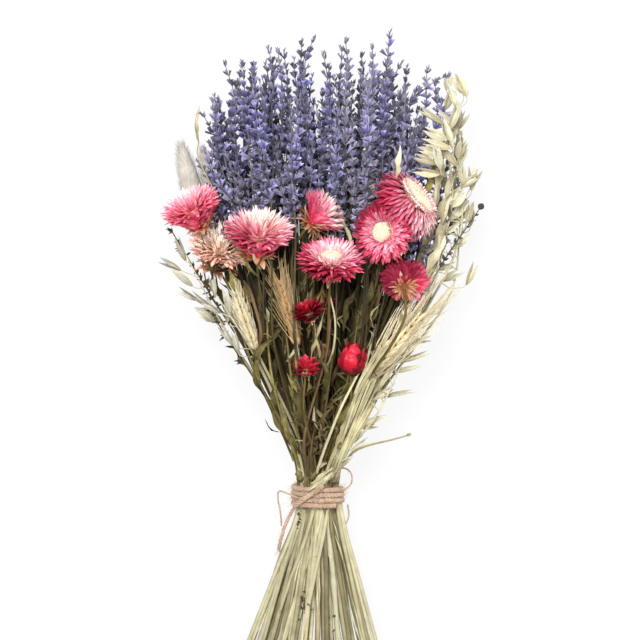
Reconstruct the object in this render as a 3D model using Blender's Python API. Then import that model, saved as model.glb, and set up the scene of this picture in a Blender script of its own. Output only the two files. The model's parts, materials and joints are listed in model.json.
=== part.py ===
"""Dried flower bunch: lavender, strawflowers, oats, wheat and bunny tails tied with twine.

The bunch lies on its back along +Y, flower heads at +Y and cut stem ends at -Y, and rests on
z = 0 with its origin under the middle of its box. Each flower grew with its stem as one piece, so
each is one closed solid. All layout numbers are millimetres; MM turns them into metres.

The stems stand side by side in a hexagonal pattern inside the twine. From there every stem runs to
its own head by the same share of the way at the same height, and the stems are sorted so that no
two have to cross. That keeps them clear of each other from the tie to the flower heads.
"""

import math
import random

import bmesh
import bpy
from mathutils import Vector

MM = 0.001

# The tie and the two fans of stems that it holds
TIE = Vector((-1.4, -90.0, 33.0))
SLOT_PITCH = 2.75
SLOT_REACH = 6
STEM_RADIUS = 1.1
LOWER_STEM_RADIUS = 1.55
LOWER_STEM_Y = -136.0
FOOT = Vector((-9.0, -225.0, 29.6))
FOOT_SPREAD = (4.6, 2.35)
FOOT_LOWEST_Z = 2.55
FOOT_TRIM = 9.0
TIE_HALF_HEIGHT = 9.0
HEAD_Y = 120.0
FAN_START_Y = TIE.y + TIE_HALF_HEIGHT
FAN_EASE = 0.85
STEM_LEVELS = (-180.0, -136.0, -99.0, -81.0, -63.0, -40.0, -12.0, 22.0, 62.0, 106.0)
LEVEL_CLEARANCE = 12.0
UNTANGLE_PASSES = 3

# Lavender: rows of spikes from the surface upwards
LAVENDER_ROWS = (6, 7, 7, 6, 4)
LAVENDER_WIDTHS = (132.0, 162.0, 166.0, 150.0, 108.0)
LAVENDER_FIRST_Z = 4.4
LAVENDER_ROW_RISE = 15.4
LAVENDER_MIDDLE_X = 3.0
LAVENDER_TOP_Y = 224.0
LAVENDER_TIER_DROPS = (1.0, 36.0, 14.0, 52.0, 24.0)
LAVENDER_DOME = 0.0032
SPIKE_LENGTH = 52.0
WHORL_SPACING = 10.2
WHORL_RADIUS = 3.9
WHORL_WAIST = 1.7

# Strawflowers: name, centre of the bloom, direction it faces, radius, form
STRAWFLOWERS = (
    ("left_pink", (-86.0, 106.0, 78.0), (-0.44, 0.90, 0.05), 22.0, "cup"),
    ("left_cream_eye", (-41.0, 88.0, 94.0), (0.05, 0.80, 0.60), 25.0, "open"),
    ("left_faded", (-70.0, 80.0, 58.0), (-0.50, 0.85, 0.15), 18.5, "cup"),
    ("middle_cup", (0.0, 102.0, 76.0), (0.74, 0.60, -0.25), 16.5, "cup"),
    ("middle_cream_eye", (7.0, 70.0, 100.0), (0.04, 0.74, 0.66), 24.5, "open"),
    ("right_facing", (43.0, 90.0, 110.0), (-0.04, 0.10, 1.00), 22.0, "open"),
    ("right_side", (61.0, 113.0, 86.0), (0.72, 0.52, 0.46), 24.0, "open"),
    ("right_turned_away", (56.0, 57.0, 98.0), (0.10, 0.62, -0.78), 18.0, "open"),
    ("dark_left", (-8.0, 37.0, 86.0), (-0.35, 0.90, 0.35), 12.0, "cup"),
    ("dark_right", (3.5, 42.0, 66.0), (0.30, 0.90, 0.10), 10.5, "cup"),
    ("small_bud", (-9.5, 0.0, 88.0), (0.05, 0.98, 0.20), 8.0, "bud"),
    ("round_bud", (21.8, 5.0, 80.0), (0.12, 0.97, 0.25), 10.5, "bud"),
)
NECK_LENGTH = 26.0
BLOOM_SIDES = 18
POINT_DIP = 0.84
# Each form is a turned outline: (distance from the axis, height along it) as shares of the radius
BLOOM_FORMS = {
    "open": (
        (0.00, -0.50),
        (0.34, -0.42),
        (0.68, -0.20),
        (1.00, 0.08),
        (0.74, 0.16),
        (0.40, 0.10),
        (0.27, 0.24),
        (0.00, 0.30),
    ),
    "cup": (
        (0.00, -0.62),
        (0.40, -0.52),
        (0.70, -0.22),
        (1.00, 0.34),
        (0.62, 0.46),
        (0.36, 0.30),
        (0.00, 0.36),
    ),
    "bud": (
        (0.00, -1.00),
        (0.62, -0.74),
        (0.96, -0.18),
        (0.90, 0.40),
        (0.52, 0.94),
        (0.00, 1.22),
    ),
}
BLOOM_RIM = 3

# Oats: name, where the panicle starts, its tip, spikelets, how far they stand out, side (-1, 0, +1)
OATS = (
    ("right_tall", (84.0, 60.0, 66.0), (92.0, 184.0, 70.0), 7, 13.0, 0),
    ("right_arching", (86.0, 92.0, 62.0), (80.0, 170.0, 96.0), 6, 12.0, -1),
    ("right_outer", (82.0, 36.0, 50.0), (98.0, 112.0, 56.0), 6, 14.0, 1),
    ("right_low", (28.0, -46.0, 70.0), (62.0, 14.0, 66.0), 6, 15.0, 1),
    ("left_low", (-58.0, 14.0, 62.0), (-92.0, 76.0, 50.0), 6, 12.0, -1),
    ("left_inner", (-42.0, 4.0, 84.0), (-74.0, 56.0, 88.0), 5, 12.0, 0),
)
SPIKELET_LENGTH = 18.0
SPIKELET_RADIUS = 2.5
PEDICEL_RADIUS = 0.55
# Share of the spikelet's length and of its radius
SPIKELET_PROFILE = ((0.0, 0.8), (0.3, 1.0), (0.65, 0.7), (1.0, 0.15))

# Bearded wheat: name, start of the ear, its tip, length of its awns
WHEAT = (
    ("right", (35.0, 1.0, 82.0), (68.0, 36.0, 84.0), 38.0),
    ("golden", (-15.0, 14.0, 74.0), (-27.0, 58.0, 80.0), 12.0),
    ("left_pale", (-43.0, 12.0, 94.0), (-56.0, 50.0, 100.0), 14.0),
)
EAR_RADIUS = 4.8
EAR_WAIST = 3.4
EAR_ROWS = 5
AWN_COUNT = 5
AWN_RADIUS = 0.55

# Bunny tails: name, start of the plume, its tip, radius
BUNNY_TAILS = (
    ("outer", (-86.0, 122.0, 36.0), (-96.0, 152.0, 38.0), 8.5),
    ("inner", (-74.0, 124.0, 28.0), (-82.0, 150.0, 22.0), 6.0),
)
# Share of the plume's length and of its radius
PLUME_PROFILE = ((0.06, 0.55), (0.22, 0.9), (0.42, 1.0), (0.66, 0.86), (0.86, 0.5), (1.0, 0.1))

# The dark sprig and the bare twig; a bud's profile is (distance from the shoot, radius)
SPRIG_START = (76.0, 58.0, 74.0)
SPRIG_TIP = (107.0, 106.0, 78.0)
SPRIG_BUDS = 6
BUD_PROFILE = ((0.0, 0.6), (2.4, 1.6), (4.6, 1.4), (7.0, 0.3))
TWIG_START = (19.0, -62.0, 64.0)
TWIG_TIP = (60.0, -46.0, 72.0)
TWIG_TIP_RADIUS = 0.8
TWIG_KNOB = ((1.2, 1.4), (2.8, 1.3), (3.6, 0.5))

# Twine
TWINE_RADIUS = 1.6
TAIL_RADIUS = 1.15
TWINE_GAP = 0.45
WRAP_TURNS = 3.6
WRAP_PITCH = 3.6
WRAP_START_ANGLE = 0.8
WRAP_POINTS_A_TURN = 18
CROSSING_ANGLES = (142.0, 80.0)
CROSSING_RISE = (-7.0, 8.0)
CROSSING_POINTS = 9
# The loose tail leaves the crossing strand and falls beside the stems
TAIL_ROUTE = (
    (-17.0, -97.2, 44.9),
    (-18.0, -98.4, 43.6),
    (-19.4, -100.6, 42.3),
    (-21.0, -103.6, 41.2),
    (-22.8, -107.4, 40.3),
    (-24.6, -112.0, 39.6),
    (-26.2, -117.0, 39.0),
    (-27.6, -122.4, 38.5),
    (-28.6, -128.0, 38.0),
)

STRAW = (0.62, 0.58, 0.36)
LAVENDER_BLUE = (0.22, 0.21, 0.42)
CRIMSON = (0.62, 0.05, 0.13)
PINK = (0.80, 0.25, 0.38)
PEACH = (0.72, 0.45, 0.32)
OAT_PALE = (0.68, 0.64, 0.42)
WHEAT_GOLD = (0.62, 0.42, 0.14)
PLUME_GREY = (0.66, 0.60, 0.54)
DARK_SPRIG = (0.10, 0.10, 0.11)
TWINE_TAN = (0.62, 0.42, 0.28)
BLOOM_COLOURS = {
    "left_faded": PEACH,
    "dark_left": CRIMSON,
    "dark_right": CRIMSON,
    "small_bud": CRIMSON,
    "round_bud": CRIMSON,
}


# ---------------------------------------------------------------- scene helpers


def clear_scene():
    for item in list(bpy.data.objects):
        bpy.data.objects.remove(item, do_unlink=True)


def bunch_collection():
    collection = bpy.data.collections.new("dried_flower_bunch")
    bpy.context.scene.collection.children.link(collection)
    return collection


def make_material(name, colour, roughness=0.9):
    material = bpy.data.materials.new(name)
    material.use_nodes = True
    shader = material.node_tree.nodes["Principled BSDF"]
    shader.inputs["Base Color"].default_value = (*colour, 1.0)
    shader.inputs["Roughness"].default_value = roughness
    return material


def tube(name, points, radii, sides=6):
    """A closed tube object through points in millimetres, with its own radius at each point."""
    curve = bpy.data.curves.new(name, "CURVE")
    curve.dimensions = "3D"
    curve.bevel_depth = MM
    curve.bevel_resolution = sides // 2 - 2
    curve.use_fill_caps = True
    spline = curve.splines.new("POLY")
    spline.points.add(len(points) - 1)
    for slot, point, radius in zip(spline.points, points, radii):
        slot.co = (*(Vector(point) * MM), 1.0)
        slot.radius = radius
    tube_object = bpy.data.objects.new(name, curve)
    bpy.context.scene.collection.objects.link(tube_object)
    return tube_object


def as_solid(item):
    """Replace a curve object by a mesh object of the same name with welded caps."""
    bpy.context.view_layer.update()
    evaluated = item.evaluated_get(bpy.context.evaluated_depsgraph_get())
    mesh = bpy.data.meshes.new_from_object(evaluated)
    name = item.name
    placed = item.matrix_world.copy()
    bpy.data.objects.remove(item, do_unlink=True)
    shell = bmesh.new()
    shell.from_mesh(mesh)
    bmesh.ops.remove_doubles(shell, verts=shell.verts, dist=1e-6)
    bmesh.ops.recalc_face_normals(shell, faces=shell.faces)
    shell.to_mesh(mesh)
    shell.free()
    solid = bpy.data.objects.new(name, mesh)
    solid.matrix_world = placed
    bpy.context.scene.collection.objects.link(solid)
    return solid


def union(base, parts):
    """Join parts into base with Boolean unions, apply them and remove the parts."""
    for part in parts:
        joint = base.modifiers.new(part.name, "BOOLEAN")
        joint.operation = "UNION"
        joint.object = part
    bpy.context.view_layer.update()
    evaluated = base.evaluated_get(bpy.context.evaluated_depsgraph_get())
    joined = bpy.data.meshes.new_from_object(evaluated)
    base.modifiers.clear()
    base.data = joined
    for part in parts:
        bpy.data.objects.remove(part, do_unlink=True)
    return base


def place(item, collection, material):
    """Put a finished piece in the bunch's collection with its one material."""
    item.data.materials.clear()
    item.data.materials.append(material)
    for owner in list(item.users_collection):
        owner.objects.unlink(item)
    collection.objects.link(item)


# ---------------------------------------------------------------- layout of the stems


def smoothstep(share):
    share = min(max(share, 0.0), 1.0)
    return share * share * (3.0 - 2.0 * share)


def spread(y):
    """Share of the way from the tie to the heads that every stem has gone at height y."""
    rise = (y - FAN_START_Y) / (HEAD_Y - FAN_START_Y)
    return smoothstep(max(rise, 0.0) ** FAN_EASE)


def tie_slots(count):
    """Places in the tie, from the middle outwards.

    The pattern is a honeycomb: of the hexagonal places, every third one stays free for the fine
    loose stems between, and each stem still stands against three others.
    """
    slots = []
    for row in range(-SLOT_REACH, SLOT_REACH + 1):
        for column in range(-2 * SLOT_REACH, 2 * SLOT_REACH + 1):
            if (column - row) % 3:
                x = SLOT_PITCH * (column + row / 2.0)
                slots.append(Vector((x, SLOT_PITCH * row * math.sqrt(3.0) / 2.0)))
    slots.sort(key=lambda slot: (round(slot.length, 3), math.atan2(slot.y, slot.x)))
    return slots[:count]


def head_target(start, slot):
    """Where a stem would be at HEAD_Y if it goes on through the start of its head."""
    share = max(spread(start[1]), 0.2)
    seat = Vector((TIE.x + slot.x, TIE.z + slot.y))
    return seat + (Vector((start[0], start[2])) - seat) / share


def untangle(starts, slots):
    """Give each head a slot in the tie so that no two stems have to cross."""
    slots = list(slots)
    sites = [Vector((0.0, 0.0))] * len(slots)
    for _ in range(UNTANGLE_PASSES):
        targets = [head_target(start, site) for start, site in zip(starts, sites)]
        swapped = True
        while swapped:
            swapped = False
            for first in range(len(starts)):
                for second in range(first + 1, len(starts)):
                    apart = slots[first] - slots[second]
                    if apart.dot(targets[first] - targets[second]) < -1e-9:
                        slots[first], slots[second] = slots[second], slots[first]
                        swapped = True
        sites = list(slots)
    return slots


def foot_point(slot, chance):
    """Cut end of the stem that passes the tie in this slot."""
    x = FOOT.x + slot.x * FOOT_SPREAD[0]
    z = max(FOOT.z + slot.y * FOOT_SPREAD[1], FOOT_LOWEST_Z)
    return Vector((x, FOOT.y + chance.uniform(0.0, FOOT_TRIM), z))


def stem_line(start, slot, chance):
    """Centre line from the cut end, through the slot in the tie, to the start of the head."""
    seat = Vector((TIE.x + slot.x, TIE.z + slot.y))
    head = Vector((start[0], start[2]))
    foot = foot_point(slot, chance)
    foot_xz = Vector((foot.x, foot.z))
    line = [foot]
    for y in STEM_LEVELS:
        if y > start[1] - LEVEL_CLEARANCE:
            break
        if y < FAN_START_Y:
            fan_end = TIE.y - TIE_HALF_HEIGHT
            here = seat.lerp(foot_xz, max(fan_end - y, 0.0) / (fan_end - FOOT.y))
        else:
            here = seat.lerp(head, spread(y) / spread(start[1]))
        line.append(Vector((here.x, y, here.y)))
    line.append(Vector(start))
    return line


def stem_radii(line):
    """Radius at each point: thicker below the tie, where the stems are oldest."""
    radii = []
    for point in line:
        share = smoothstep((point.y - LOWER_STEM_Y) / (TIE.y - TIE_HALF_HEIGHT - LOWER_STEM_Y))
        radii.append(LOWER_STEM_RADIUS + (STEM_RADIUS - LOWER_STEM_RADIUS) * share)
    return radii


def bend(start, leaving, end, arriving, count, pull):
    """Points along one smooth bend, without its first point."""
    first = start + leaving.normalized() * pull
    second = end - arriving.normalized() * pull
    points = []
    for step in range(1, count + 1):
        t = step / count
        points.append(
            start * (1 - t) ** 3
            + first * 3 * t * (1 - t) ** 2
            + second * 3 * t * t * (1 - t)
            + end * t ** 3
        )
    return points


def growing_direction(line):
    return (line[-1] - line[-2]).normalized()


# ---------------------------------------------------------------- the flowers


class Plant:
    """One stem with its head: a name, the start of the head, and how to build the solid."""

    def __init__(self, name, start, colour, build):
        self.name = name
        self.start = Vector(start)
        self.colour = colour
        self.build = build


def lavender_plan(chance):
    """Starts and tips of the lavender spikes, row by row from the surface upwards."""
    plan = []
    for row, (count, width) in enumerate(zip(LAVENDER_ROWS, LAVENDER_WIDTHS)):
        for column in range(count):
            share = (column + 0.5) / count - 0.5
            x = LAVENDER_MIDDLE_X + share * width
            z = LAVENDER_FIRST_Z + row * LAVENDER_ROW_RISE
            if row:
                x += chance.uniform(-3.0, 3.0)
                z += chance.uniform(-2.0, 2.0)
            drop = LAVENDER_TIER_DROPS[(2 * row + 3 * column) % len(LAVENDER_TIER_DROPS)]
            tip_y = LAVENDER_TOP_Y - drop - LAVENDER_DOME * (x - LAVENDER_MIDDLE_X) ** 2
            tip_y += chance.uniform(-5.0, 5.0)
            start = Vector((x, tip_y - SPIKE_LENGTH, z))
            lean = Vector((0.10 * (x - LAVENDER_MIDDLE_X) / 75.0, 1.0, 0.0)).normalized()
            plan.append((start, start + lean * SPIKE_LENGTH))
    plan.sort(key=lambda spike: spike[0].x)
    return plan


def build_lavender(name, line, tip):
    """Stem and spike in one tube that swells at each whorl of flowers."""
    start = line[-1]
    points = list(line[:-1])
    radii = stem_radii(points)
    whorls = int((tip - start).length / WHORL_SPACING)
    for whorl in range(whorls):
        share = whorl / whorls
        swell = WHORL_RADIUS * (1.0 - 0.35 * share)
        waist = WHORL_WAIST * (1.0 - 0.3 * share)
        points.append(start.lerp(tip, share))
        radii.append(waist)
        points.append(start.lerp(tip, share + 0.62 / whorls))
        radii.append(swell)
    points.append(tip)
    radii.append(0.5)
    return tube(name, points, radii)


def bloom_solid(name, centre, facing, radius, form):
    """A turned bloom whose outer rim has pointed bracts."""
    outline = BLOOM_FORMS[form]
    shell = bmesh.new()
    rim = [shell.verts.new((radius * r * MM, 0.0, radius * h * MM)) for r, h in outline]
    edges = [shell.edges.new(pair) for pair in zip(rim, rim[1:])]
    bmesh.ops.spin(
        shell,
        geom=rim + edges,
        cent=(0, 0, 0),
        axis=(0, 0, 1),
        angle=2.0 * math.pi,
        steps=BLOOM_SIDES,
        use_merge=True,
    )
    bmesh.ops.remove_doubles(shell, verts=shell.verts, dist=1e-6)
    rim_radius = radius * outline[BLOOM_RIM][0] * MM
    for vert in shell.verts:
        along = math.atan2(vert.co.y, vert.co.x) / (2.0 * math.pi) * BLOOM_SIDES
        on_rim = abs(math.hypot(vert.co.x, vert.co.y) - rim_radius) < 1e-6
        if on_rim and form != "bud" and round(along) % 2:
            vert.co.x *= POINT_DIP
            vert.co.y *= POINT_DIP
    bmesh.ops.recalc_face_normals(shell, faces=shell.faces)
    mesh = bpy.data.meshes.new(name)
    shell.to_mesh(mesh)
    shell.free()
    bloom = bpy.data.objects.new(name, mesh)
    bloom.location = centre * MM
    bloom.rotation_mode = "QUATERNION"
    bloom.rotation_quaternion = facing.to_track_quat("Z", "Y")
    bpy.context.scene.collection.objects.link(bloom)
    return bloom


def bloom_base(centre, facing, radius, form):
    """Where the stem enters the bloom, just inside its base."""
    return centre + facing * radius * (BLOOM_FORMS[form][1][1] + 0.04)


def bloom_start(centre, facing, radius, form):
    """Start of the neck that turns the bloom to its side."""
    base = bloom_base(centre, facing, radius, form)
    turn = (facing + Vector((0.0, 1.0, 0.0))).normalized()
    return base - turn * NECK_LENGTH


def build_strawflower(name, line, centre, facing, radius, form):
    base = bloom_base(centre, facing, radius, form)
    neck = bend(line[-1], growing_direction(line), base, facing, 4, NECK_LENGTH * 0.4)
    points = line + neck
    stem = as_solid(tube(name, points, stem_radii(points)))
    return union(stem, [bloom_solid(name + "_bloom", centre, facing, radius, form)])


def build_oat(name, line, tip, spikelets, reach, side, chance):
    """A panicle: the stem thins to its tip and carries hanging spikelets on fine stalks."""
    start = line[-1]
    pull = (tip - start).length * 0.4
    panicle = bend(start, growing_direction(line), tip, tip - start, 6, pull)
    points = line + panicle
    radii = stem_radii(line)
    radii += [STEM_RADIUS - 0.1 * (step + 1) for step in range(len(panicle))]
    stem = as_solid(tube(name, points, radii))
    axis = [start] + panicle
    parts = []
    for index in range(spikelets):
        share = (index + 0.6) / spikelets * (len(axis) - 1)
        joint = int(share)
        root = axis[joint].lerp(axis[joint + 1], share - joint)
        along = (axis[joint + 1] - axis[joint]).normalized()
        turn = side if side else (-1 if index % 2 else 1)
        outward = along.cross(Vector((0.0, 0.0, 1.0))).normalized() * turn
        outward += Vector((0.0, 0.0, chance.uniform(-0.5, 0.5)))
        away = (along * 0.8 + outward.normalized()).normalized()
        elbow = root + away * reach * 0.5
        leaf = (away + along * 0.7).normalized()
        spine = [root, elbow]
        widths = [PEDICEL_RADIUS, PEDICEL_RADIUS]
        for step, width in SPIKELET_PROFILE:
            spine.append(elbow + leaf * (2.0 + SPIKELET_LENGTH * step))
            widths.append(SPIKELET_RADIUS * width)
        parts.append(as_solid(tube(f"{name}_spikelet_{index}", spine, widths)))
    return union(stem, parts)


def build_wheat(name, line, tip, awn_length, chance):
    """A bearded ear: stacked grains, with stiff awns that fan out past its tip."""
    start = line[-1]
    points = list(line)
    radii = stem_radii(line)
    for row in range(EAR_ROWS):
        share = (row + 0.5) / EAR_ROWS
        taper = 1.0 - 0.4 * abs(2.0 * share - 0.8)
        points.append(start.lerp(tip, share))
        radii.append(EAR_RADIUS * taper)
        points.append(start.lerp(tip, share + 0.35 / EAR_ROWS))
        radii.append(EAR_WAIST * taper)
    points.append(tip)
    radii.append(0.7)
    ear = as_solid(tube(name, points, radii, sides=8))
    along = (tip - start).normalized()
    across = along.cross(Vector((0.0, 0.0, 1.0))).normalized()
    parts = []
    for index in range(AWN_COUNT):
        lean = (index / (AWN_COUNT - 1) - 0.5) * 0.56
        lift = chance.uniform(-0.10, 0.10)
        ray = (along + across * lean + Vector((0.0, 0.0, lift))).normalized()
        root = start.lerp(tip, 0.55 + 0.07 * (2 - abs(index - 2)))
        end = root + ray * (awn_length + (tip - root).length)
        parts.append(
            as_solid(tube(f"{name}_awn_{index}", [root, end], [AWN_RADIUS, 0.25], sides=4))
        )
    return union(ear, parts)


def build_bunny_tail(name, line, tip, radius):
    """A soft oval plume on a fine stem."""
    start = line[-1]
    points = list(line)
    radii = stem_radii(line)
    for share, width in PLUME_PROFILE:
        points.append(start.lerp(tip, share))
        radii.append(radius * width)
    return tube(name, points, radii, sides=8)


def build_sprig(name, line, tip, buds):
    """A thin dark sprig with a bud at each joint."""
    start = line[-1]
    shoot = bend(start, growing_direction(line), tip, tip - start, 5, 16.0)
    points = line + shoot
    radii = stem_radii(line) + [1.0 - 0.1 * step for step in range(len(shoot))]
    stem = as_solid(tube(name, points, radii))
    parts = []
    for index in range(buds):
        joint = 1.4 + (len(shoot) - 2.0) * index / (buds - 1)
        below = shoot[int(joint) - 1]
        root = below.lerp(shoot[int(joint)], joint % 1.0)
        turn = -1.0 if index % 2 else 1.0
        away = Vector((0.8 * turn, 0.7, 0.2)).normalized()
        spine = [root + away * step for step, _ in BUD_PROFILE]
        widths = [width for _, width in BUD_PROFILE]
        parts.append(as_solid(tube(f"{name}_bud_{index}", spine, widths)))
    return union(stem, parts)


def build_twig(name, line, tip):
    """A bare twig that leaves the bunch just above the tie and ends in a small knob."""
    start = line[-1]
    twig = bend(start, growing_direction(line), tip, tip - start, 4, 12.0)
    points = line + twig
    radii = stem_radii(line)
    for step in range(len(twig)):
        share = (step + 1) / len(twig)
        radii.append(STEM_RADIUS + (TWIG_TIP_RADIUS - STEM_RADIUS) * share)
    forward = (twig[-1] - twig[-2]).normalized()
    for step, width in TWIG_KNOB:
        points.append(tip + forward * step)
        radii.append(width)
    return tube(name, points, radii)


# ---------------------------------------------------------------- the twine


def build_wraps(radius):
    """One strand wound round the stems, each turn a little above the last."""
    count = int(WRAP_TURNS * WRAP_POINTS_A_TURN)
    points = []
    for step in range(count + 1):
        turn = step / WRAP_POINTS_A_TURN
        angle = 2.0 * math.pi * turn + WRAP_START_ANGLE
        y = TIE.y + WRAP_PITCH * (turn - WRAP_TURNS / 2.0)
        points.append(
            Vector((TIE.x + radius * math.cos(angle), y, TIE.z + radius * math.sin(angle)))
        )
    return tube("twine_wraps", points, [TWINE_RADIUS] * len(points))


def build_crossing(wrap_radius):
    """The strand that crosses over the wraps on the upper side and holds them."""
    radius = wrap_radius + 2.0 * TWINE_RADIUS + TWINE_GAP
    first_angle, last_angle = CROSSING_ANGLES
    first_y, last_y = CROSSING_RISE
    points = []
    for step in range(CROSSING_POINTS):
        share = step / (CROSSING_POINTS - 1)
        angle = math.radians(first_angle + (last_angle - first_angle) * share)
        y = TIE.y + first_y + (last_y - first_y) * share
        points.append(
            Vector((TIE.x + radius * math.cos(angle), y, TIE.z + radius * math.sin(angle)))
        )
    return tube("twine_crossing", points, [TWINE_RADIUS] * len(points))


def build_tail():
    """The loose end of the twine."""
    points = [Vector(point) for point in TAIL_ROUTE]
    return tube("twine_tail", points, [TAIL_RADIUS] * len(points))


# ---------------------------------------------------------------- the whole bunch


def all_plants(chance):
    plants = []
    for index, (start, tip) in enumerate(lavender_plan(chance)):
        name = f"lavender_{index + 1:02d}"
        plants.append(
            Plant(name, start, LAVENDER_BLUE, lambda n, l, tip=tip: build_lavender(n, l, tip))
        )
    for name, centre, facing, radius, form in STRAWFLOWERS:
        bloom = (Vector(centre), Vector(facing).normalized(), radius, form)
        plants.append(
            Plant(
                f"strawflower_{name}",
                bloom_start(*bloom),
                BLOOM_COLOURS.get(name, PINK),
                lambda n, l, bloom=bloom: build_strawflower(n, l, *bloom),
            )
        )
    for name, start, tip, count, reach, side in OATS:
        details = (Vector(tip), count, reach, side, chance)
        plants.append(
            Plant(f"oat_{name}", start, OAT_PALE, lambda n, l, d=details: build_oat(n, l, *d))
        )
    for name, start, tip, awns in WHEAT:
        details = (Vector(tip), awns, chance)
        plants.append(
            Plant(f"wheat_{name}", start, WHEAT_GOLD, lambda n, l, d=details: build_wheat(n, l, *d))
        )
    for name, start, tip, radius in BUNNY_TAILS:
        details = (Vector(tip), radius)
        plants.append(
            Plant(
                f"bunny_tail_{name}",
                start,
                PLUME_GREY,
                lambda n, l, d=details: build_bunny_tail(n, l, *d),
            )
        )
    plants.append(
        Plant(
            "dark_sprig",
            SPRIG_START,
            DARK_SPRIG,
            lambda n, l: build_sprig(n, l, Vector(SPRIG_TIP), SPRIG_BUDS),
        )
    )
    plants.append(
        Plant("bare_twig", TWIG_START, STRAW, lambda n, l: build_twig(n, l, Vector(TWIG_TIP)))
    )
    return plants


def centre_on_origin(collection):
    """Move the bunch so that the origin is under the middle of its box, on the surface."""
    bpy.context.view_layer.update()
    depsgraph = bpy.context.evaluated_depsgraph_get()
    corners = []
    for item in collection.objects:
        evaluated = item.evaluated_get(depsgraph)
        mesh = evaluated.to_mesh()
        corners += [item.matrix_world @ vert.co for vert in mesh.vertices]
        evaluated.to_mesh_clear()
    low = Vector([min(corner[axis] for corner in corners) for axis in range(3)])
    high = Vector([max(corner[axis] for corner in corners) for axis in range(3)])
    shift = Vector((-(low.x + high.x) / 2, -(low.y + high.y) / 2, -low.z))
    for item in collection.objects:
        item.location += shift
    print("box in mm:", [round(side / MM, 1) for side in high - low])
    print("shift in mm:", [round(side / MM, 2) for side in shift])


def main():
    clear_scene()
    collection = bunch_collection()
    chance = random.Random(7)
    plants = all_plants(chance)
    slots = untangle([plant.start for plant in plants], tie_slots(len(plants)))
    for plant, slot in zip(plants, slots):
        line = stem_line(plant.start, slot, chance)
        flower = plant.build(plant.name, line)
        place(flower, collection, make_material(plant.name, plant.colour))
    outermost = max(slot.length for slot in slots)
    wrap_radius = outermost + STEM_RADIUS + TWINE_GAP + TWINE_RADIUS
    for strand in (build_wraps(wrap_radius), build_crossing(wrap_radius), build_tail()):
        place(strand, collection, make_material(strand.name, TWINE_TAN))
    centre_on_origin(collection)


main()
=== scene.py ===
"""The looks of a dried flower bunch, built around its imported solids.

Every size is in the bunch's own millimetres, as in the part's source: +Y runs along the stems to
the flower heads and +Z is up from the surface that the bunch lies on. Bunch.shift carries them
into the row frame, and MM turns them into metres. Each stem follows the centre line of its solid.
"""

import itertools
import json
import logging
import math
from collections.abc import Callable, Sequence
from dataclasses import dataclass
from enum import Enum
from typing import ClassVar

import bpy
import numpy as np
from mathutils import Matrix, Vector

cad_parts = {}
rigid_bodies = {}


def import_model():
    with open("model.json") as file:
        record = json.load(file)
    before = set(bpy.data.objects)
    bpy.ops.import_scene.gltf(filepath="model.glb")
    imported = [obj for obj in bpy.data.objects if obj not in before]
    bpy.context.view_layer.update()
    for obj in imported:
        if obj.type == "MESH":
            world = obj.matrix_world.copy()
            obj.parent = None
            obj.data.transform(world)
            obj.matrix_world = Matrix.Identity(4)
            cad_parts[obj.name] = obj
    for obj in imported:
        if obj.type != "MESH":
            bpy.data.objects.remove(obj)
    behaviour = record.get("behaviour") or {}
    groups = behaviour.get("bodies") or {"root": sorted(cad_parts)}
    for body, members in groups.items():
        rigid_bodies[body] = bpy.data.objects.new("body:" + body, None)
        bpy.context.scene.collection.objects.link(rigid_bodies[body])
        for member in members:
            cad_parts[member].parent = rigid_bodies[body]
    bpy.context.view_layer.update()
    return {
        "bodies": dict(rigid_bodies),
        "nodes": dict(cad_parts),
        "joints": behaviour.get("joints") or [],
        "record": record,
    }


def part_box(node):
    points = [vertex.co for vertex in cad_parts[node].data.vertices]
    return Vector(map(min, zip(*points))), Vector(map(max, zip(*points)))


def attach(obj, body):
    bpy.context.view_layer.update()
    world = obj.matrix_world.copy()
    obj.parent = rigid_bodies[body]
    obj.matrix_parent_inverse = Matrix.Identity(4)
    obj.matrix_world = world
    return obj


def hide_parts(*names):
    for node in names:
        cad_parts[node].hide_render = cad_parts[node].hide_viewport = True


logging.basicConfig(level=logging.INFO, format="%(message)s")
LOG = logging.getLogger("bunch")

Array = np.ndarray
Colour = tuple[float, float, float]
Triple = tuple[float, float, float]
Pair = tuple[float, float]
Knots = Sequence[Pair]
Rows = tuple[tuple[float, ...], ...]
Axes = tuple[Array, Array, Array]
Draws = np.random.Generator
Socket = bpy.types.NodeSocket
Tree = bpy.types.NodeTree

MM = 0.001
UP = np.array([0.0, 0.0, 1.0])
FORWARD = np.array([0.0, 1.0, 0.0])
GOLDEN_ANGLE = math.pi * (3.0 - math.sqrt(5.0))
FLOAT, COLOUR, VECTOR = "NodeSocketFloat", "NodeSocketColor", "NodeSocketVector"

TIE_MIDDLE = np.array([-1.4, -90.0, 33.0])
SLOT_PITCH = 2.75
FOOT_Y = -225.0
STEM_LOW_Y = -230.0
STEM_SPAN_Y = 460.0
LOWEST = np.array([-500.0, -500.0, 3.0])


def linear(code: str) -> Colour:
    """Linear colour from six hex digits.

    Args:
        code: Red, green and blue as two hex digits each.

    Returns:
        The three channels for a shader socket.
    """
    channels = []
    for start in (0, 2, 4):
        value = int(code[start : start + 2], 16) / 255
        low = value / 12.92
        channels.append(low if value <= 0.04045 else ((value + 0.055) / 1.055) ** 2.4)
    return (channels[0], channels[1], channels[2])


def vector(*values: float) -> Array:
    """A point or direction as an array."""
    return np.array(values, float)


def unit(direction: Array) -> Array:
    """The direction with a length of one."""
    return direction / max(np.linalg.norm(direction), 1e-9)


def clipped(value: float) -> float:
    """The value, held between 0 and 1."""
    return float(np.clip(value, 0, 1))


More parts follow.
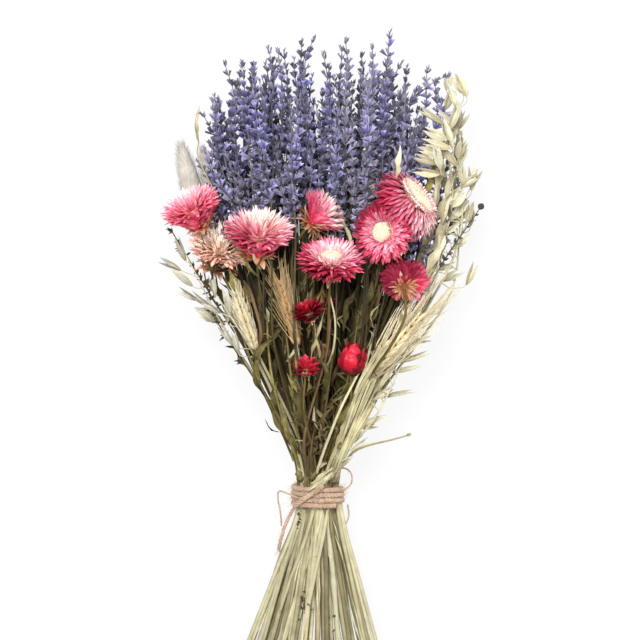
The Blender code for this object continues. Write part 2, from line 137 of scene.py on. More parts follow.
def smooth_line(knots: Array | Sequence[Sequence[float]], step: float) -> Array:
    """A smooth line through knots with points about a step apart.

    Args:
        knots: The points that the line passes.
        step: The spacing of the new points.

    Returns:
        The line's points.
    """
    knots = np.asarray(knots, float)
    gaps = np.linalg.norm(np.diff(knots, axis=0), axis=1)[:, None]
    slopes = np.diff(knots, axis=0) / gaps
    inner = (slopes[:-1] * gaps[1:] + slopes[1:] * gaps[:-1]) / (gaps[:-1] + gaps[1:])
    pulls = np.vstack([slopes[:1], inner, slopes[-1:]])
    points = []
    for index, gap in enumerate(gaps[:, 0]):
        count = max(1, round(gap / step))
        t = (np.arange(count) / count)[:, None]
        points.append(knots[index] * (2 * t**3 - 3 * t**2 + 1) + knots[index + 1] * (3 * t**2 - 2 * t**3)
            + gap * (pulls[index] * (t**3 - 2 * t**2 + t) + pulls[index + 1] * (t**3 - t**2)))
    return np.vstack([*points, knots[-1:]])


def bend_between(start: Array, leaving: Array, end: Array, arriving: Array, count: int) -> Array:
    """Points along one bend that leaves and arrives in given directions.

    Args:
        start: First point, which isn't among the points returned.
        leaving: Direction at the start.
        end: Last point.
        arriving: Direction at the end.
        count: How many points to return.

    Returns:
        The points after the start.
    """
    pull = np.linalg.norm(end - start) * 0.4
    first = start + unit(leaving) * pull
    second = end - unit(arriving) * pull
    t = (np.arange(1, count + 1) / count)[:, None]
    return (start * (1 - t) ** 3 + first * 3 * t * (1 - t) ** 2 + second * 3 * t**2 * (1 - t) + end * t**3)


def frames_along(line: Array, hint: Array) -> tuple[Array, Array, Array]:
    """Side, upward and forward directions at each point of a line, without twist.

    Args:
        line: The line's points.
        hint: About where upward should point at its start.

    Returns:
        Three directions for each point.
    """
    forward = np.gradient(line, axis=0)
    forward /= np.maximum(np.linalg.norm(forward, axis=1, keepdims=True), 1e-9)
    if abs(unit(hint) @ forward[0]) > 0.98:
        hint = vector(0.31, 0.17, 0.93) if abs(hint[0]) > 0.5 else vector(1, 0.2, 0.1)
    upward = np.empty_like(line)
    current = hint
    for index, direction in enumerate(forward):
        current = unit(current - direction * (current @ direction))
        upward[index] = current
    return np.cross(upward, forward), upward, forward


def axes_between(start: Array, tip: Array) -> tuple[Array, Array, Array, float]:
    """Forward, sideways and upper directions of the way between two points, and its length.

    Args:
        start: The first point.
        tip: The second point.

    Returns:
        Three directions and the length.
    """
    forward = unit(tip - start)
    side = unit(np.cross(forward, UP))
    return forward, side, np.cross(side, forward), np.linalg.norm(tip - start)


def around(side: Array, other: Array, angle: float) -> Array:
    """The direction at an angle from side towards other."""
    return side * math.cos(angle) + other * math.sin(angle)


def tilted(axis: Array, radial: Array, lean: float) -> tuple[Array, Array]:
    """A direction that leans from an axis towards radial, and its side that faces the axis."""
    cosine, sine = math.cos(lean), math.sin(lean)
    return axis * cosine + radial * sine, axis * sine - radial * cosine


def travelled(line: Array) -> Array:
    """Distance from the start of a line to each of its points."""
    return np.concatenate([[0], np.cumsum(np.linalg.norm(np.diff(line, axis=0), axis=1))])


def climb(line: Array) -> Array:
    """How far up the bunch each point of a line is, as a share of its length."""
    return (line[:, 1] - STEM_LOW_Y) / STEM_SPAN_Y


def point_at(value: Array | float, stops: Array, line: Array) -> Array:
    """The point of a line at a value of what its stops measure."""
    return np.stack([np.interp(value, stops, line[:, axis]) for axis in range(3)], axis=-1)


def shares(line: Array) -> Array:
    """Evenly rising values from 0 to 1, one for each point of a line."""
    return np.linspace(0, 1, len(line))


# ---------------------------------------------------------------- shapes


@dataclass
class Form:
    """A mesh shape with the values that its finish reads: how far along, and its own grain."""

    points: Array
    quads: Array
    tris: Array
    along: Array
    grain: Array


def round_section(sides: int, ridges: float = 0.0) -> Array:
    """Outline of a round stalk, with every second corner a little lower for ridges.

    Args:
        sides: How many corners it has.
        ridges: How much lower every second corner is, as a share.

    Returns:
        The outline's points.
    """
    angles = np.arange(sides) / sides * 2 * math.pi
    radii = np.where(np.arange(sides) % 2, 1 - ridges, 1)
    return np.column_stack([np.cos(angles) * radii, np.sin(angles) * radii])


def leaf_section(cup: float, body: float = 0.07) -> Array:
    """Outline of a thin leaf whose edges stand up by cup, both as shares of its width."""
    return np.array([(0, -body), (0.5, cup), (0.25, cup * 0.34 + body * 0.8), (0, body),
        (-0.25, cup * 0.34 + body * 0.8), (-0.5, cup)])


def bract_section(cup: float, body: float = 0.06) -> Array:
    """Outline of a papery bract: a thin rhomb with raised edges."""
    return np.array([(0, -body), (0.5, cup), (0, body), (-0.5, cup)])


def sweep(line: Array, section: Array, width: Array | float, depth: Array | float | None = None,
        roll: Array | float = 0.0, hint: Array = UP, along: Array | None = None) -> Form:
    """Carry an outline along a line and close both ends.

    Args:
        line: Centre line.
        section: Outline, across and up, in shares of width and depth.
        width: Scale across at each point.
        depth: Scale upwards at each point, or None for the same as the width.
        roll: Turn of the outline about the line, in radians.
        hint: Direction that the outline's upper side faces at the start.
        along: How far along each point is, or None for its share of the length.

    Returns:
        The closed form.
    """
    count, sides = len(line), len(section)
    scales = [np.broadcast_to(np.asarray(size, float), (count,))[:, None]
        for size in (width, width if depth is None else depth, roll)]
    side, upward, _ = frames_along(line, hint)
    across = side * np.cos(scales[2]) + upward * np.sin(scales[2])
    above = upward * np.cos(scales[2]) - side * np.sin(scales[2])
    flat_x, flat_y = section[:, 0] * scales[0], section[:, 1] * scales[1]
    rings = line[:, None] + across[:, None] * flat_x[:, :, None] + above[:, None] * flat_y[:, :, None]
    distance = travelled(line)
    if along is None:
        along = distance / max(distance[-1], 1e-9)
    ring = np.arange(sides)
    following = (ring + 1) % sides
    base = np.arange(count - 1)[:, None] * sides
    above_base = base + sides
    quads = np.stack([base + ring, base + following, above_base + following, above_base + ring], axis=-1)
    end = (count - 1) * sides
    tris = np.vstack([np.column_stack([np.full(sides, end + sides), following, ring]),
        np.column_stack([np.full(sides, end + sides + 1), end + ring, end + following])])
    grain = np.stack([flat_x, flat_y, np.broadcast_to(distance[:, None], flat_x.shape)], axis=-1)
    return Form(np.vstack([rings.reshape(-1, 3), line[:1], line[-1:]]), quads.reshape(-1, 4), tris,
        np.concatenate([np.repeat(along, sides), along[[0, -1]]]),
        np.vstack([grain.reshape(-1, 3), (0, 0, 0), (0, 0, distance[-1])]))


def ribbon(line: Array, knots: Knots, width: float, cup: float, body: float,
        roll: Array | float = 0.0) -> Form:
    """A long thin leaf along a line, whose width follows a few (share, width) knots."""
    return sweep(line, leaf_section(cup, body), outline(shares(line), knots) * width, roll=roll)


def curled_spine(length: float, curl: float, segments: int, late: float = 1.0) -> Array:
    """A line that starts along +Z and curls towards +Y by curl radians, more so near its end.

    Args:
        length: The line's length.
        curl: How far it turns, in radians.
        segments: How many straight steps it has.
        late: Above 1, the turn comes nearer its end.

    Returns:
        The line's points.
    """
    angle = curl * np.linspace(0, 1, segments + 1) ** late
    middle = (angle[1:] + angle[:-1]) / 2
    steps = np.stack([middle * 0, np.sin(middle), np.cos(middle)], axis=-1) * (length / segments)
    return np.vstack([(0, 0, 0), np.cumsum(steps, axis=0)])


def outline(share: Array, knots: Knots) -> Array:
    """Width at each share of the length, from a few (share, width) knots."""
    return np.interp(share, *zip(*knots))


def blade_form(length: float, width: float, curl: float, cup: float, knots: Knots, segments: int = 5,
        late: float = 1.0, body: float = 0.06, twist: float = 0.0,
        section: Callable[[float, float], Array] = bract_section) -> Form:
    """A bract, glume or small leaf that grows along +Z with its upper side towards +Y.

    Args:
        length: Its length.
        width: Its greatest width.
        curl: How far it curls, in radians.
        cup: How far its edges stand up, as a share of its width.
        knots: Share along it and share of the width, for its outline.
        segments: How many steps it has.
        late: Above 1, it curls nearer its tip.
        body: Its thickness, as a share of its width.
        twist: How far it has turned at its tip, in radians.
        section: What makes its cross-section from cup and body.

    Returns:
        The form.
    """
    spine = curled_spine(length, curl, segments, late)
    share = shares(spine)
    return sweep(spine, section(cup, body), outline(share, knots) * width, roll=twist * share, hint=FORWARD)


def pod_form(length: float, knots: Knots, sides: int = 6, ridges: float = 0.0, lean: float = 0.0,
        mouth: float = 0.0, teeth: float = 0.0) -> Form:
    """A small hollow-looking pod along +Z, such as a calyx, a grain or a bud.

    Args:
        length: From base to tip.
        knots: (share of the length, radius).
        sides: Corners of its outline.
        ridges: How far every second corner is drawn in.
        lean: Curl of its axis in radians.
        mouth: How far the closing face at the tip is sunk, as a share of the length.
        teeth: How far every second corner of the mouth flares out, in millimetres.

    Returns:
        The closed pod.
    """
    share, radii = np.array(knots, float).T
    spine = curled_spine(length, lean, 20)
    line = point_at(share, shares(spine), spine)
    form = sweep(line, round_section(sides, ridges), radii, hint=FORWARD, along=share)
    forward = unit(line[-1] - line[-2])
    form.points[-1] -= forward * mouth * length
    if teeth:
        rim = form.points[len(line) * sides - sides : len(line) * sides]
        outward = rim - line[-1]
        outward /= np.linalg.norm(outward, axis=1, keepdims=True)
        rim[::2] += (outward[::2] * 0.8 + forward * 0.7) * teeth
        rim[1::2] -= forward * teeth * 0.25
    return form


class Places:
    """Where copies of a form go: origin, growing direction, upper side, scale, tint and age."""

    def __init__(self) -> None:
        """Start with no places."""
        self.rows: list[tuple[Array, Array, Array, Array, float, float]] = []

    def add(self, origin: Array, direction: Array, upper: Array, scale: float | Array = 1.0,
            tint: float = 0.5, age: float = 0.0) -> None:
        """Add one place."""
        size = np.broadcast_to(np.asarray(scale, float), (3,))
        self.rows.append((origin, direction, upper, size, tint, age))


class MeshDraft:
    """Collects the forms of one piece, then makes its mesh with the values its finishes read."""

    def __init__(self) -> None:
        """Start empty, with a list for each kind of part."""
        names = ("points", "quads", "tris", "quad_slots", "tri_slots", "look", "grain")
        self.parts: dict[str, list[Array]] = {name: [] for name in names}
        self.count = 0

    def _append(self, points: Array, quads: Array, tris: Array, look: Array, grain: Array,
            slot: int) -> None:
        """Add faces whose corners count from this draft's next point.

        Args:
            points: The new points.
            quads: Corners of the four-sided faces.
            tris: Corners of the triangles.
            look: Tint, age and share along, for each point.
            grain: Each point's place in the grain.
            slot: The finish slot of all the faces.
        """
        new = (points, quads + self.count, tris + self.count, np.full(len(quads), slot),
            np.full(len(tris), slot), look, grain)
        for part, rows in zip(self.parts.values(), new):
            part.append(rows)
        self.count += len(points)

    @property
    def triangles(self) -> int:
        """How many triangles the draft holds."""
        return 2 * sum(map(len, self.parts["quads"])) + sum(map(len, self.parts["tris"]))

    def put(self, form: Form, slot: int = 0, tint: float = 0.5, age: float = 0.0) -> None:
        """Add one form where it stands.

        Args:
            form: The form.
            slot: Its finish slot.
            tint: Its own tint, 0 to 1.
            age: How far it has browned, 0 to 1.
        """
        size = len(form.points)
        look = np.column_stack([np.full(size, tint), np.full(size, age), form.along])
        grain = form.grain + vector(tint * 37, age * 61, tint * 113)
        self._append(form.points, form.quads, form.tris, look, grain, slot)

    def scatter(self, form: Form, places: Places, slot: int = 0) -> None:
        """Add a copy of a form at each place.

        Args:
            form: The form, which points along +Z.
            places: Where the copies go.
            slot: Their finish slot.
        """
        if not places.rows:
            return
        columns = [np.array(column, float) for column in zip(*places.rows)]
        origin, direction, upper, scale, tint, age = columns
        forward = direction / np.linalg.norm(direction, axis=1, keepdims=True)
        upper = upper - forward * np.sum(upper * forward, axis=1, keepdims=True)
        upper /= np.maximum(np.linalg.norm(upper, axis=1, keepdims=True), 1e-9)
        local = form.points * scale[:, None]
        points = origin[:, None]
        for axis, way in enumerate((np.cross(upper, forward), upper, forward)):
            points = points + way[:, None] * local[:, :, axis, None]
        copies, corners = len(origin), len(form.points)
        offset = (np.arange(copies) * corners)[:, None, None]
        look = np.stack([np.repeat(tint[:, None], corners, 1), np.repeat(age[:, None], corners, 1),
            np.repeat(form.along[None], copies, 0)], axis=-1)
        drift = np.column_stack([tint * 37, age * 61, np.arange(copies) * 7.3])
        self._append(points.reshape(-1, 3), (form.quads + offset).reshape(-1, 4),
            (form.tris + offset).reshape(-1, 3), look.reshape(-1, 3),
            (form.grain + drift[:, None]).reshape(-1, 3), slot)

    def scatter_variants(self, forms: Sequence[Form], places: Places, slot: int = 0) -> None:
        """Add the variants of a form in turn, one at each place.

        Args:
            forms: The variants.
            places: Where the copies go.
            slot: Their finish slot.
        """
        for number, form in enumerate(forms):
            part = Places()
            part.rows = places.rows[number :: len(forms)]
            self.scatter(form, part, slot)

    def place(self, form: Form, slot: int, origin: Array, direction: Array, upper: Array, tint: float,
            age: float) -> None:
        """Add one copy of a form.

        Args:
            form: The form, which points along +Z.
            slot: Its finish slot.
            origin: Where its foot stands.
            direction: Where it points.
            upper: Where its upper side faces.
            tint: Its own tint, 0 to 1.
            age: How far it has browned, 0 to 1.
        """
        spot = Places()
        spot.add(origin, direction, upper, 1, tint, age)
        self.scatter(form, spot, slot)

    def mesh(self, name: str, shift: Array, crease: float) -> bpy.types.Mesh:
        """The finished mesh in the row frame, in metres; what would sink into the surface lies flat.

        Args:
            name: The mesh's name.
            shift: From the bunch's millimetres to the row frame's.
            crease: Edges sharper than this angle stay sharp, in radians.

        Returns:
            The mesh.
        """
        mesh = bpy.data.meshes.new(name)
        points = (np.vstack(self.parts["points"]) + shift) * MM
        points[:, 2] = points[:, 2].clip(min=0)
        quads, tris = np.vstack(self.parts["quads"]), np.vstack(self.parts["tris"])
        starts = np.concatenate([np.arange(len(quads)) * 4, len(quads) * 4 + np.arange(len(tris)) * 3])
        corners = np.concatenate([quads.ravel(), tris.ravel()])
        slots = np.concatenate(self.parts["quad_slots"] + self.parts["tri_slots"])
        mesh.vertices.add(len(points))
        mesh.vertices.foreach_set("co", points.ravel())
        mesh.loops.add(len(corners))
        mesh.polygons.add(len(starts))
        for field, values in (("loop_start", starts), ("vertices", corners), ("material_index", slots)):
            mesh.polygons.foreach_set(field, values.astype(np.int32))
        mesh.polygons.foreach_set("use_smooth", np.ones(len(starts), bool))
        for kind in ("look", "grain"):
            layer = mesh.attributes.new(kind, "FLOAT_VECTOR", "POINT")
            layer.data.foreach_set("vector", np.vstack(self.parts[kind]).astype(np.float32).ravel())
        mesh.update(calc_edges=True)
        mesh.validate()
        mesh.set_sharp_from_angle(angle=crease)
        return mesh


# ---------------------------------------------------------------- finishes


class Wiring:
    """Adds and links the nodes of one tree in few words."""

    def __init__(self, tree: Tree) -> None:
        """Work on a tree."""
        self.tree = tree

    def node(self, kind: str, **settings: object) -> bpy.types.Node:
        """A new node with some of its own settings.

        Args:
            kind: The node's type.
            settings: Its properties by name.

        Returns:
            The node.
        """
        made = self.tree.nodes.new(kind)
        for name, value in settings.items():
            setattr(made, name, value)
        return made

    def feed(self, socket: Socket, value: object) -> None:
        """Link a socket to another, or give it a plain value.

        Args:
            socket: The input.
            value: A socket or a plain value.
        """
        if isinstance(value, Socket):
            self.tree.links.new(value, socket)
        else:
            socket.default_value = value

    def fill(self, made: bpy.types.Node, *values: object, **named: object) -> bpy.types.NodeOutputs:
        """Give a node's first inputs and its named ones their values.

        Args:
            made: The node.
            *values: One for each input in turn, None to leave an input as it is.
            **named: By the input's name, with _ for each space.

        Returns:
            The node's outputs.
        """
        for socket, value in zip(made.inputs, values):
            if value is not None:
                self.feed(socket, value)
        for name, value in named.items():
            self.feed(made.inputs[name.replace("_", " ")], value)
        return made.outputs

    def maths(self, operation: str, *values: object) -> Socket:
        """The result of a Math node."""
        return self.fill(self.node("ShaderNodeMath", operation=operation), *values)[0]

    def fit(self, value: object, low: object, high: object, start: float = 0.0, end: float = 1.0) -> Socket:
        """A value between start and end, stretched to run from low to high."""
        return self.fill(self.node("ShaderNodeMapRange"), value, start, end, low, high)["Result"]

    def split(self, value: object) -> Sequence[Socket]:
        """The three parts of a vector."""
        return self.fill(self.node("ShaderNodeSeparateXYZ"), value)

    def blend(self, share: object, first: object, second: object, kind: str = "MIX") -> Socket:
        """Two colours mixed by a share."""
        made = self.node("ShaderNodeMix", data_type="RGBA", blend_type=kind)
        return self.fill(made, share, *[None] * 5, first, second)[2]

    def ramp(self, value: object, stops: Sequence[tuple[float, Colour]]) -> Socket:
        """A colour ramp through linear colours.

        Args:
            value: Where on the ramp to look.
            stops: Each stop's place and colour.

        Returns:
            The colour found there.
        """
        made = self.node("ShaderNodeValToRGB")
        elements = made.color_ramp.elements
        while len(elements) < len(stops):
            elements.new(1)
        for element, (place, colour) in zip(elements, stops):
            element.position = place
            element.color = (*colour, 1)
        return self.fill(made, value)[0]

    def group(self, tree: Tree, **values: object) -> bpy.types.NodeOutputs:
        """The outputs of a placed node group with its input values."""
        return self.fill(self.node("ShaderNodeGroup", node_tree=tree), **values)


def new_group(name: str, inputs: Sequence[tuple[str, str, object]],
        outputs: Sequence[tuple[str, str]]) -> tuple[Wiring, bpy.types.NodeOutputs, bpy.types.Node]:
    """A shader node group with named sockets.

    Args:
        name: The group's name.
        inputs: Name, socket kind and first value of each input.
        outputs: Name and socket kind of each output.

    Returns:
        The wiring of its tree, what it is given and the node that its results go to.
    """
    tree = bpy.data.node_groups.new(name, "ShaderNodeTree")
    for title, kind, value in inputs:
        socket = tree.interface.new_socket(title, in_out="INPUT", socket_type=kind)
        if value is not None:
            socket.default_value = value
    for title, kind in outputs:
        tree.interface.new_socket(title, in_out="OUTPUT", socket_type=kind)
    wiring = Wiring(tree)
    return wiring, wiring.node("NodeGroupInput").outputs, wiring.node("NodeGroupOutput")


class SharedEffects:
    """The node groups that more than one finish uses, each built once."""

    def __init__(self) -> None:
        """Build the groups."""
        self.fibre = self._fibre()
        self.mottle = self._mottle()
        self.weather = self._weather()

    @staticmethod
    def _fibre() -> Tree:
        """Fine dry fibres along the grain of each form.

        Returns:
            The group's tree.
        """
        wiring, given, made = new_group("dry_fibre", [("Grain", VECTOR, None), ("Fineness", FLOAT, 3),
            ("Stretch", FLOAT, 0.1)], [("Shade", FLOAT), ("Height", FLOAT)])
        across, upward, onward = wiring.split(given["Grain"])
        onward = wiring.maths("MULTIPLY", onward, given["Stretch"])
        scaled = [wiring.maths("MULTIPLY", part, given["Fineness"]) for part in (across, upward, onward)]
        place = wiring.fill(wiring.node("ShaderNodeCombineXYZ"), *scaled)[0]
        noise = wiring.fill(wiring.node("ShaderNodeTexNoise"), Vector=place, Scale=1, Detail=3,
            Roughness=0.6)[0]
        wiring.fill(made, Shade=wiring.fit(noise, 0, 1, 0.3, 0.7), Height=noise)
        return wiring.tree

    @staticmethod
    def _mottle() -> Tree:
        """Soft blotches a few millimetres wide, as dried plants have.

        Returns:
            The group's tree.
        """
        wiring, given, made = new_group("age_mottle", [("Size", FLOAT, 6), ("Detail", FLOAT, 3)],
            [("Shade", FLOAT)])
        noise = wiring.fill(wiring.node("ShaderNodeTexNoise"),
            Vector=wiring.node("ShaderNodeTexCoord").outputs["Object"],
            Scale=wiring.maths("DIVIDE", 1000, given["Size"]), Detail=given["Detail"])[0]
        wiring.fill(made, Shade=wiring.fit(noise, 0, 1, 0.32, 0.68))
        return wiring.tree

    @staticmethod
    def _weather() -> Tree:
        """Lighten and darken a colour by a form's own tint, its fibres and its blotches.

        Returns:
            The group's tree.
        """
        wiring, given, made = new_group("dry_weather", [("Colour", COLOUR, (0.5, 0.5, 0.5, 1)),
            ("Tint", FLOAT, 0.5), ("Tint Low", FLOAT, 0.8), ("Tint High", FLOAT, 1.2),
            ("Fibre", FLOAT, 0.5), ("Fibre Depth", FLOAT, 0.2), ("Mottle", FLOAT, 0.5),
            ("Mottle Depth", FLOAT, 0.2)], [("Colour", COLOUR)])
        level = wiring.fit(given["Tint"], given["Tint Low"], given["Tint High"])
        for shade in ("Fibre", "Mottle"):
            swing = wiring.maths("SUBTRACT", given[shade], 0.5)
            offset = wiring.maths("MULTIPLY", swing, given[shade + " Depth"])
            level = wiring.maths("MULTIPLY", level, wiring.maths("ADD", offset, 1))
        scaled = wiring.node("ShaderNodeVectorMath", operation="SCALE")
        wiring.fill(made, Colour=wiring.fill(scaled, given["Colour"], Scale=level)[0])
        return wiring.tree


@dataclass(frozen=True)
class DryFinish:
    """A dried plant surface whose colour changes along each form.

    Attributes:
        name: The material's name.
        tones: (share along the form, colour code) stops.
        aged: Colour that the oldest forms take on.
        aged_share: How much of it the oldest take.
        tints: Lowest and highest brightness among the forms.
        fibre: Fineness, stretch and depth of the fibres.
        mottle: Size in millimetres and depth of the blotches.
        bump: Height of the fibres in millimetres.
        roughness: Plain roughness.
        sheen: Plain sheen weight.
    """

    name: str
    tones: tuple[tuple[float, str], ...]
    aged: str = "8a7a5a"
    aged_share: float = 0.6
    tints: Pair = (0.75, 1.2)
    fibre: Triple = (3.0, 0.08, 0.25)
    mottle: Pair = (7.0, 0.25)
    bump: float = 0.12
    roughness: float = 0.75
    sheen: float = 0.0

    def colour(self, wiring: Wiring, tint: object, age: object, along: object) -> object:
        """The colour before weathering.

        Args:
            wiring: The material's wiring.
            tint: Each form's own tint.
            age: How far it has browned.
            along: The share along it.

        Returns:
            The colour.
        """
        stops = [(place, linear(code)) for place, code in self.tones]
        body = wiring.ramp(along, stops)
        worn = wiring.maths("MULTIPLY", age, self.aged_share)
        return wiring.blend(worn, body, (*linear(self.aged), 1))

    @staticmethod
    def brightness(tint: object, age: object) -> object:
        """The value that picks how bright a form is."""
        return tint

    def material(self, effects: SharedEffects) -> bpy.types.Material:
        """Build the material.

        Args:
            effects: The shared node groups.

        Returns:
            The new material.
        """
        material = bpy.data.materials.new(self.name)
        material.use_nodes = True
        wiring = Wiring(material.node_tree)
        shader = material.node_tree.nodes["Principled BSDF"]
        look, grain = (wiring.node("ShaderNodeAttribute", attribute_name=name).outputs["Vector"]
            for name in ("look", "grain"))
        tint, age, along = wiring.split(look)
        fineness, stretch, depth = self.fibre
        fibre = wiring.group(effects.fibre, Grain=grain, Fineness=fineness, Stretch=stretch)
        mottle = wiring.group(effects.mottle, Size=self.mottle[0])
        weathered = wiring.group(effects.weather, Colour=self.colour(wiring, tint, age, along),
            Tint=self.brightness(tint, age), Tint_Low=self.tints[0], Tint_High=self.tints[1],
            Fibre=fibre["Shade"], Fibre_Depth=depth, Mottle=mottle["Shade"], Mottle_Depth=self.mottle[1])
        bump = wiring.fill(wiring.node("ShaderNodeBump"), Strength=0.7, Distance=self.bump * MM,
            Height=fibre["Height"])
        wiring.fill(shader, Base_Color=weathered["Colour"], Normal=bump[0], Roughness=self.roughness,
            Specular_IOR_Level=0.3, Sheen_Weight=self.sheen, Sheen_Roughness=0.6)
        return material


@dataclass(frozen=True)
class BractFinish(DryFinish):
    """Papery bracts: the row that a bract stands in picks its colour, and its tip fades.

    Attributes:
        rows: (row tone, colour code) stops from the innermost bracts to the outermost.
        foot: Colour that darkens the foot of each bract: partly the bracts' own deeper colour there, partly
            painted shade between the bracts.
        tip: Colour at its tip.
        foot_and_shade_share: How much of the foot's colour shows at the foot.
        tip_share: How much of the tip's colour shows at the tip.
    """

    rows: tuple[tuple[float, str], ...] = ((0.0, "ffffff"), (1.0, "a00020"))
    foot: str = "f0d0c0"
    tip: str = "f8d8dc"
    foot_and_shade_share: float = 0.5
    tip_share: float = 0.4

    @staticmethod
    def brightness(tint: object, age: object) -> object:
        """The tint picks a bract's row colour, so its age picks how bright it is."""
        return age

    def colour(self, wiring: Wiring, tint: object, age: object, along: object) -> object:
        """The row's colour, with the foot and the tip of each bract mixed in; the darker foot is partly
        painted shade.

        Args:
            wiring: The material's wiring.
            tint: Each bract's row, as a tint.
            age: How bright it is, with the bloom's painted light and shade, and how far its tip has faded.
            along: The share along it.

        Returns:
            The colour.
        """
        body = wiring.ramp(tint, [(place, linear(code)) for place, code in self.rows])
        black, white = (0, 0, 0), (1, 1, 1)
        foot_and_shade_ramp = wiring.ramp(along, [(0, white), (0.45, black)])
        tipped = wiring.ramp(along, [(0.55, black), (1, white)])
        foot_and_shade_mask = wiring.maths("MULTIPLY", foot_and_shade_ramp, self.foot_and_shade_share)
        tip_mask = wiring.maths("MULTIPLY", tipped, wiring.maths("MULTIPLY", age, self.tip_share))
        # Painted shade, partly the bract's own deeper colour: the foot is multiplied darker.
        body = wiring.blend(foot_and_shade_mask, body, (*linear(self.foot), 1), "MULTIPLY")
        return wiring.blend(tip_mask, body, (*linear(self.tip), 1))


# Calyx tones run near black at each calyx's foot: partly its own colour, partly painted shade inside the
# whorls.
CALYX = DryFinish("lavender_calyx", ((0, "25214c"), (0.35, "444084"), (0.75, "6b69ad"), (1, "a3a2ce")),
    aged="9690a4", aged_share=0.9, tints=(0.2, 1.5), fibre=(5, 0.1, 0.35), mottle=(5, 0.3), bump=0.1,
    roughness=0.85, sheen=0.2)
# The lavender and flower stalks are darkest from the tie to the heads, in the middle of the bunch: partly
# their own olive-brown, partly painted shade under the heads.
LAVENDER_STALK = DryFinish("lavender_stalk", ((0, "b9b18c"), (0.27, "b2a983"), (0.35, "665938"),
    (0.5, "40361f"), (0.68, "4d4838"), (0.8, "66656e")), aged="5e5430", aged_share=0.7, tints=(0.42, 1.4),
    mottle=(9, 0.5))
FLOWER_STALK = DryFinish("flower_stalk", ((0, "cac19c"), (0.27, "bfb58c"), (0.35, "7a6838"),
    (0.5, "574824"), (0.75, "77683c")), aged="5a461f", aged_share=0.6, tints=(0.55, 1.3), mottle=(9, 0.4))
STRAW_STALK = DryFinish("straw_stalk", ((0, "c8c2a0"), (0.25, "cdc7a5"), (0.4, "d2caa2"), (0.7, "cdc8a6"),
    (1, "d8d5be")), aged="a5986a", aged_share=0.6, tints=(0.68, 1.15), fibre=(3, 0.04, 0.3), roughness=0.6,
    bump=0.1)
OAT_GLUME = DryFinish("oat_glume", ((0, "b6b293"), (0.3, "ceccb1"), (0.7, "dedbc6"), (1, "eae8da")),
    aged="cbb890", aged_share=0.7, tints=(0.72, 1.12), fibre=(5, 0.05, 0.4), mottle=(9, 0.25),
    roughness=0.55, bump=0.12)
GREY_GLUME = DryFinish("grey_glume", ((0, "9d9c84"), (0.4, "b9b8a6"), (1, "d6d5ca")), aged="a89c80",
    aged_share=0.7, tints=(0.7, 1.12), fibre=(5, 0.05, 0.5), mottle=(9, 0.3), roughness=0.6, bump=0.12)
WHEAT_GRAIN = DryFinish("wheat_grain", ((0, "d4c498"), (0.5, "e6d8b0"), (1, "f2e8ce")), aged="b07a3e",
    aged_share=0.85, tints=(0.78, 1.14), fibre=(5, 0.06, 0.3), roughness=0.6)
AWN = DryFinish("wheat_awn", ((0, "dacba4"), (1, "f0e8d0")), aged="a98446", aged_share=0.8,
    tints=(0.75, 1.12), roughness=0.6)
PLUME = DryFinish("plume_hair", ((0, "beb6a9"), (0.5, "d6d0c6"), (1, "e8e3da")), aged="b3a894",
    aged_share=0.4, tints=(0.8, 1.12), fibre=(4, 0.1, 0.15), roughness=0.9, sheen=0.3)
DARK_BUD = DryFinish("dark_bud", ((0, "4a4a44"), (0.6, "3a3c40"), (1, "5c5f6c")), aged="6a5a44",
    tints=(0.7, 1.3), roughness=0.8)
DRY_LEAF = DryFinish("dry_leaf", ((0, "675e33"), (0.4, "7d7442"), (0.8, "8a804d"), (1, "95895a")),
    aged="3f331a", aged_share=0.9, tints=(0.5, 1.5), fibre=(2.5, 0.05, 0.4), mottle=(4, 0.7), roughness=0.7,
    bump=0.2)
PALE_LEAF = DryFinish("pale_leaf", ((0, "b3ad86"), (0.5, "cfcaab"), (1, "dedbc5")), aged="b39a66",
    aged_share=0.8, tints=(0.7, 1.15), fibre=(2.5, 0.05, 0.35), mottle=(6, 0.35), roughness=0.65, bump=0.15)
BASE_BRACT = DryFinish("base_bract", ((0, "94583a"), (0.5, "d9a27c"), (1, "f6d8be")), aged="c26a3c",
    aged_share=0.75, tints=(0.75, 1.2), mottle=(4, 0.35), roughness=0.55)
DISC = DryFinish("flower_disc", ((0, "d8c596"), (0.6, "efe5c8"), (1, "f6efdc")), aged="dcc591",
    aged_share=0.5, tints=(0.85, 1.04), mottle=(4, 0.12), roughness=0.8)
# The foot colours of the bract finishes darken each bract's foot, partly as painted shade.
PINK_BRACT = BractFinish("pink_bract", (), rows=((0, "f6e6d6"), (0.1, "f6cbd0"), (0.24, "f2a6b8"),
    (0.4, "ea7a97"), (0.55, "df4f74"), (0.74, "cd294d"), (1, "98183a")), foot="f08c96", tip="fad8dc",
    foot_and_shade_share=0.8, tip_share=0.3, tints=(0.78, 1.5), fibre=(4, 0.05, 0.35), mottle=(6, 0.2),
    roughness=0.66, bump=0.12)
FADED_BRACT = BractFinish("faded_bract", (), rows=((0, "fdf3e4"), (0.3, "fbdccb"), (0.6, "f8cab8"),
    (0.85, "f3c2ac"), (1, "ecbc9c")), foot="f0b09a", tip="f8c8c0", foot_and_shade_share=0.7, tip_share=0.5,
    tints=(0.9, 1.3), fibre=(4, 0.05, 0.35), mottle=(6, 0.25), roughness=0.66, bump=0.12)
CRIMSON_BRACT = BractFinish("crimson_bract", (), rows=((0, "e0384c"), (0.3, "c8142f"), (0.65, "930c22"),
    (1, "550812")), foot="f08070", tip="e9657a", foot_and_shade_share=0.5, tip_share=0.35, tints=(0.7, 1.15),
    fibre=(4, 0.05, 0.4), mottle=(5, 0.3), roughness=0.38, bump=0.12)
TWIG_BARK = DryFinish("twig_bark", ((0, "8f855c"), (0.5, "a59c74"), (1, "b3ab8a")), tints=(0.85, 1.1),
    roughness=0.8)
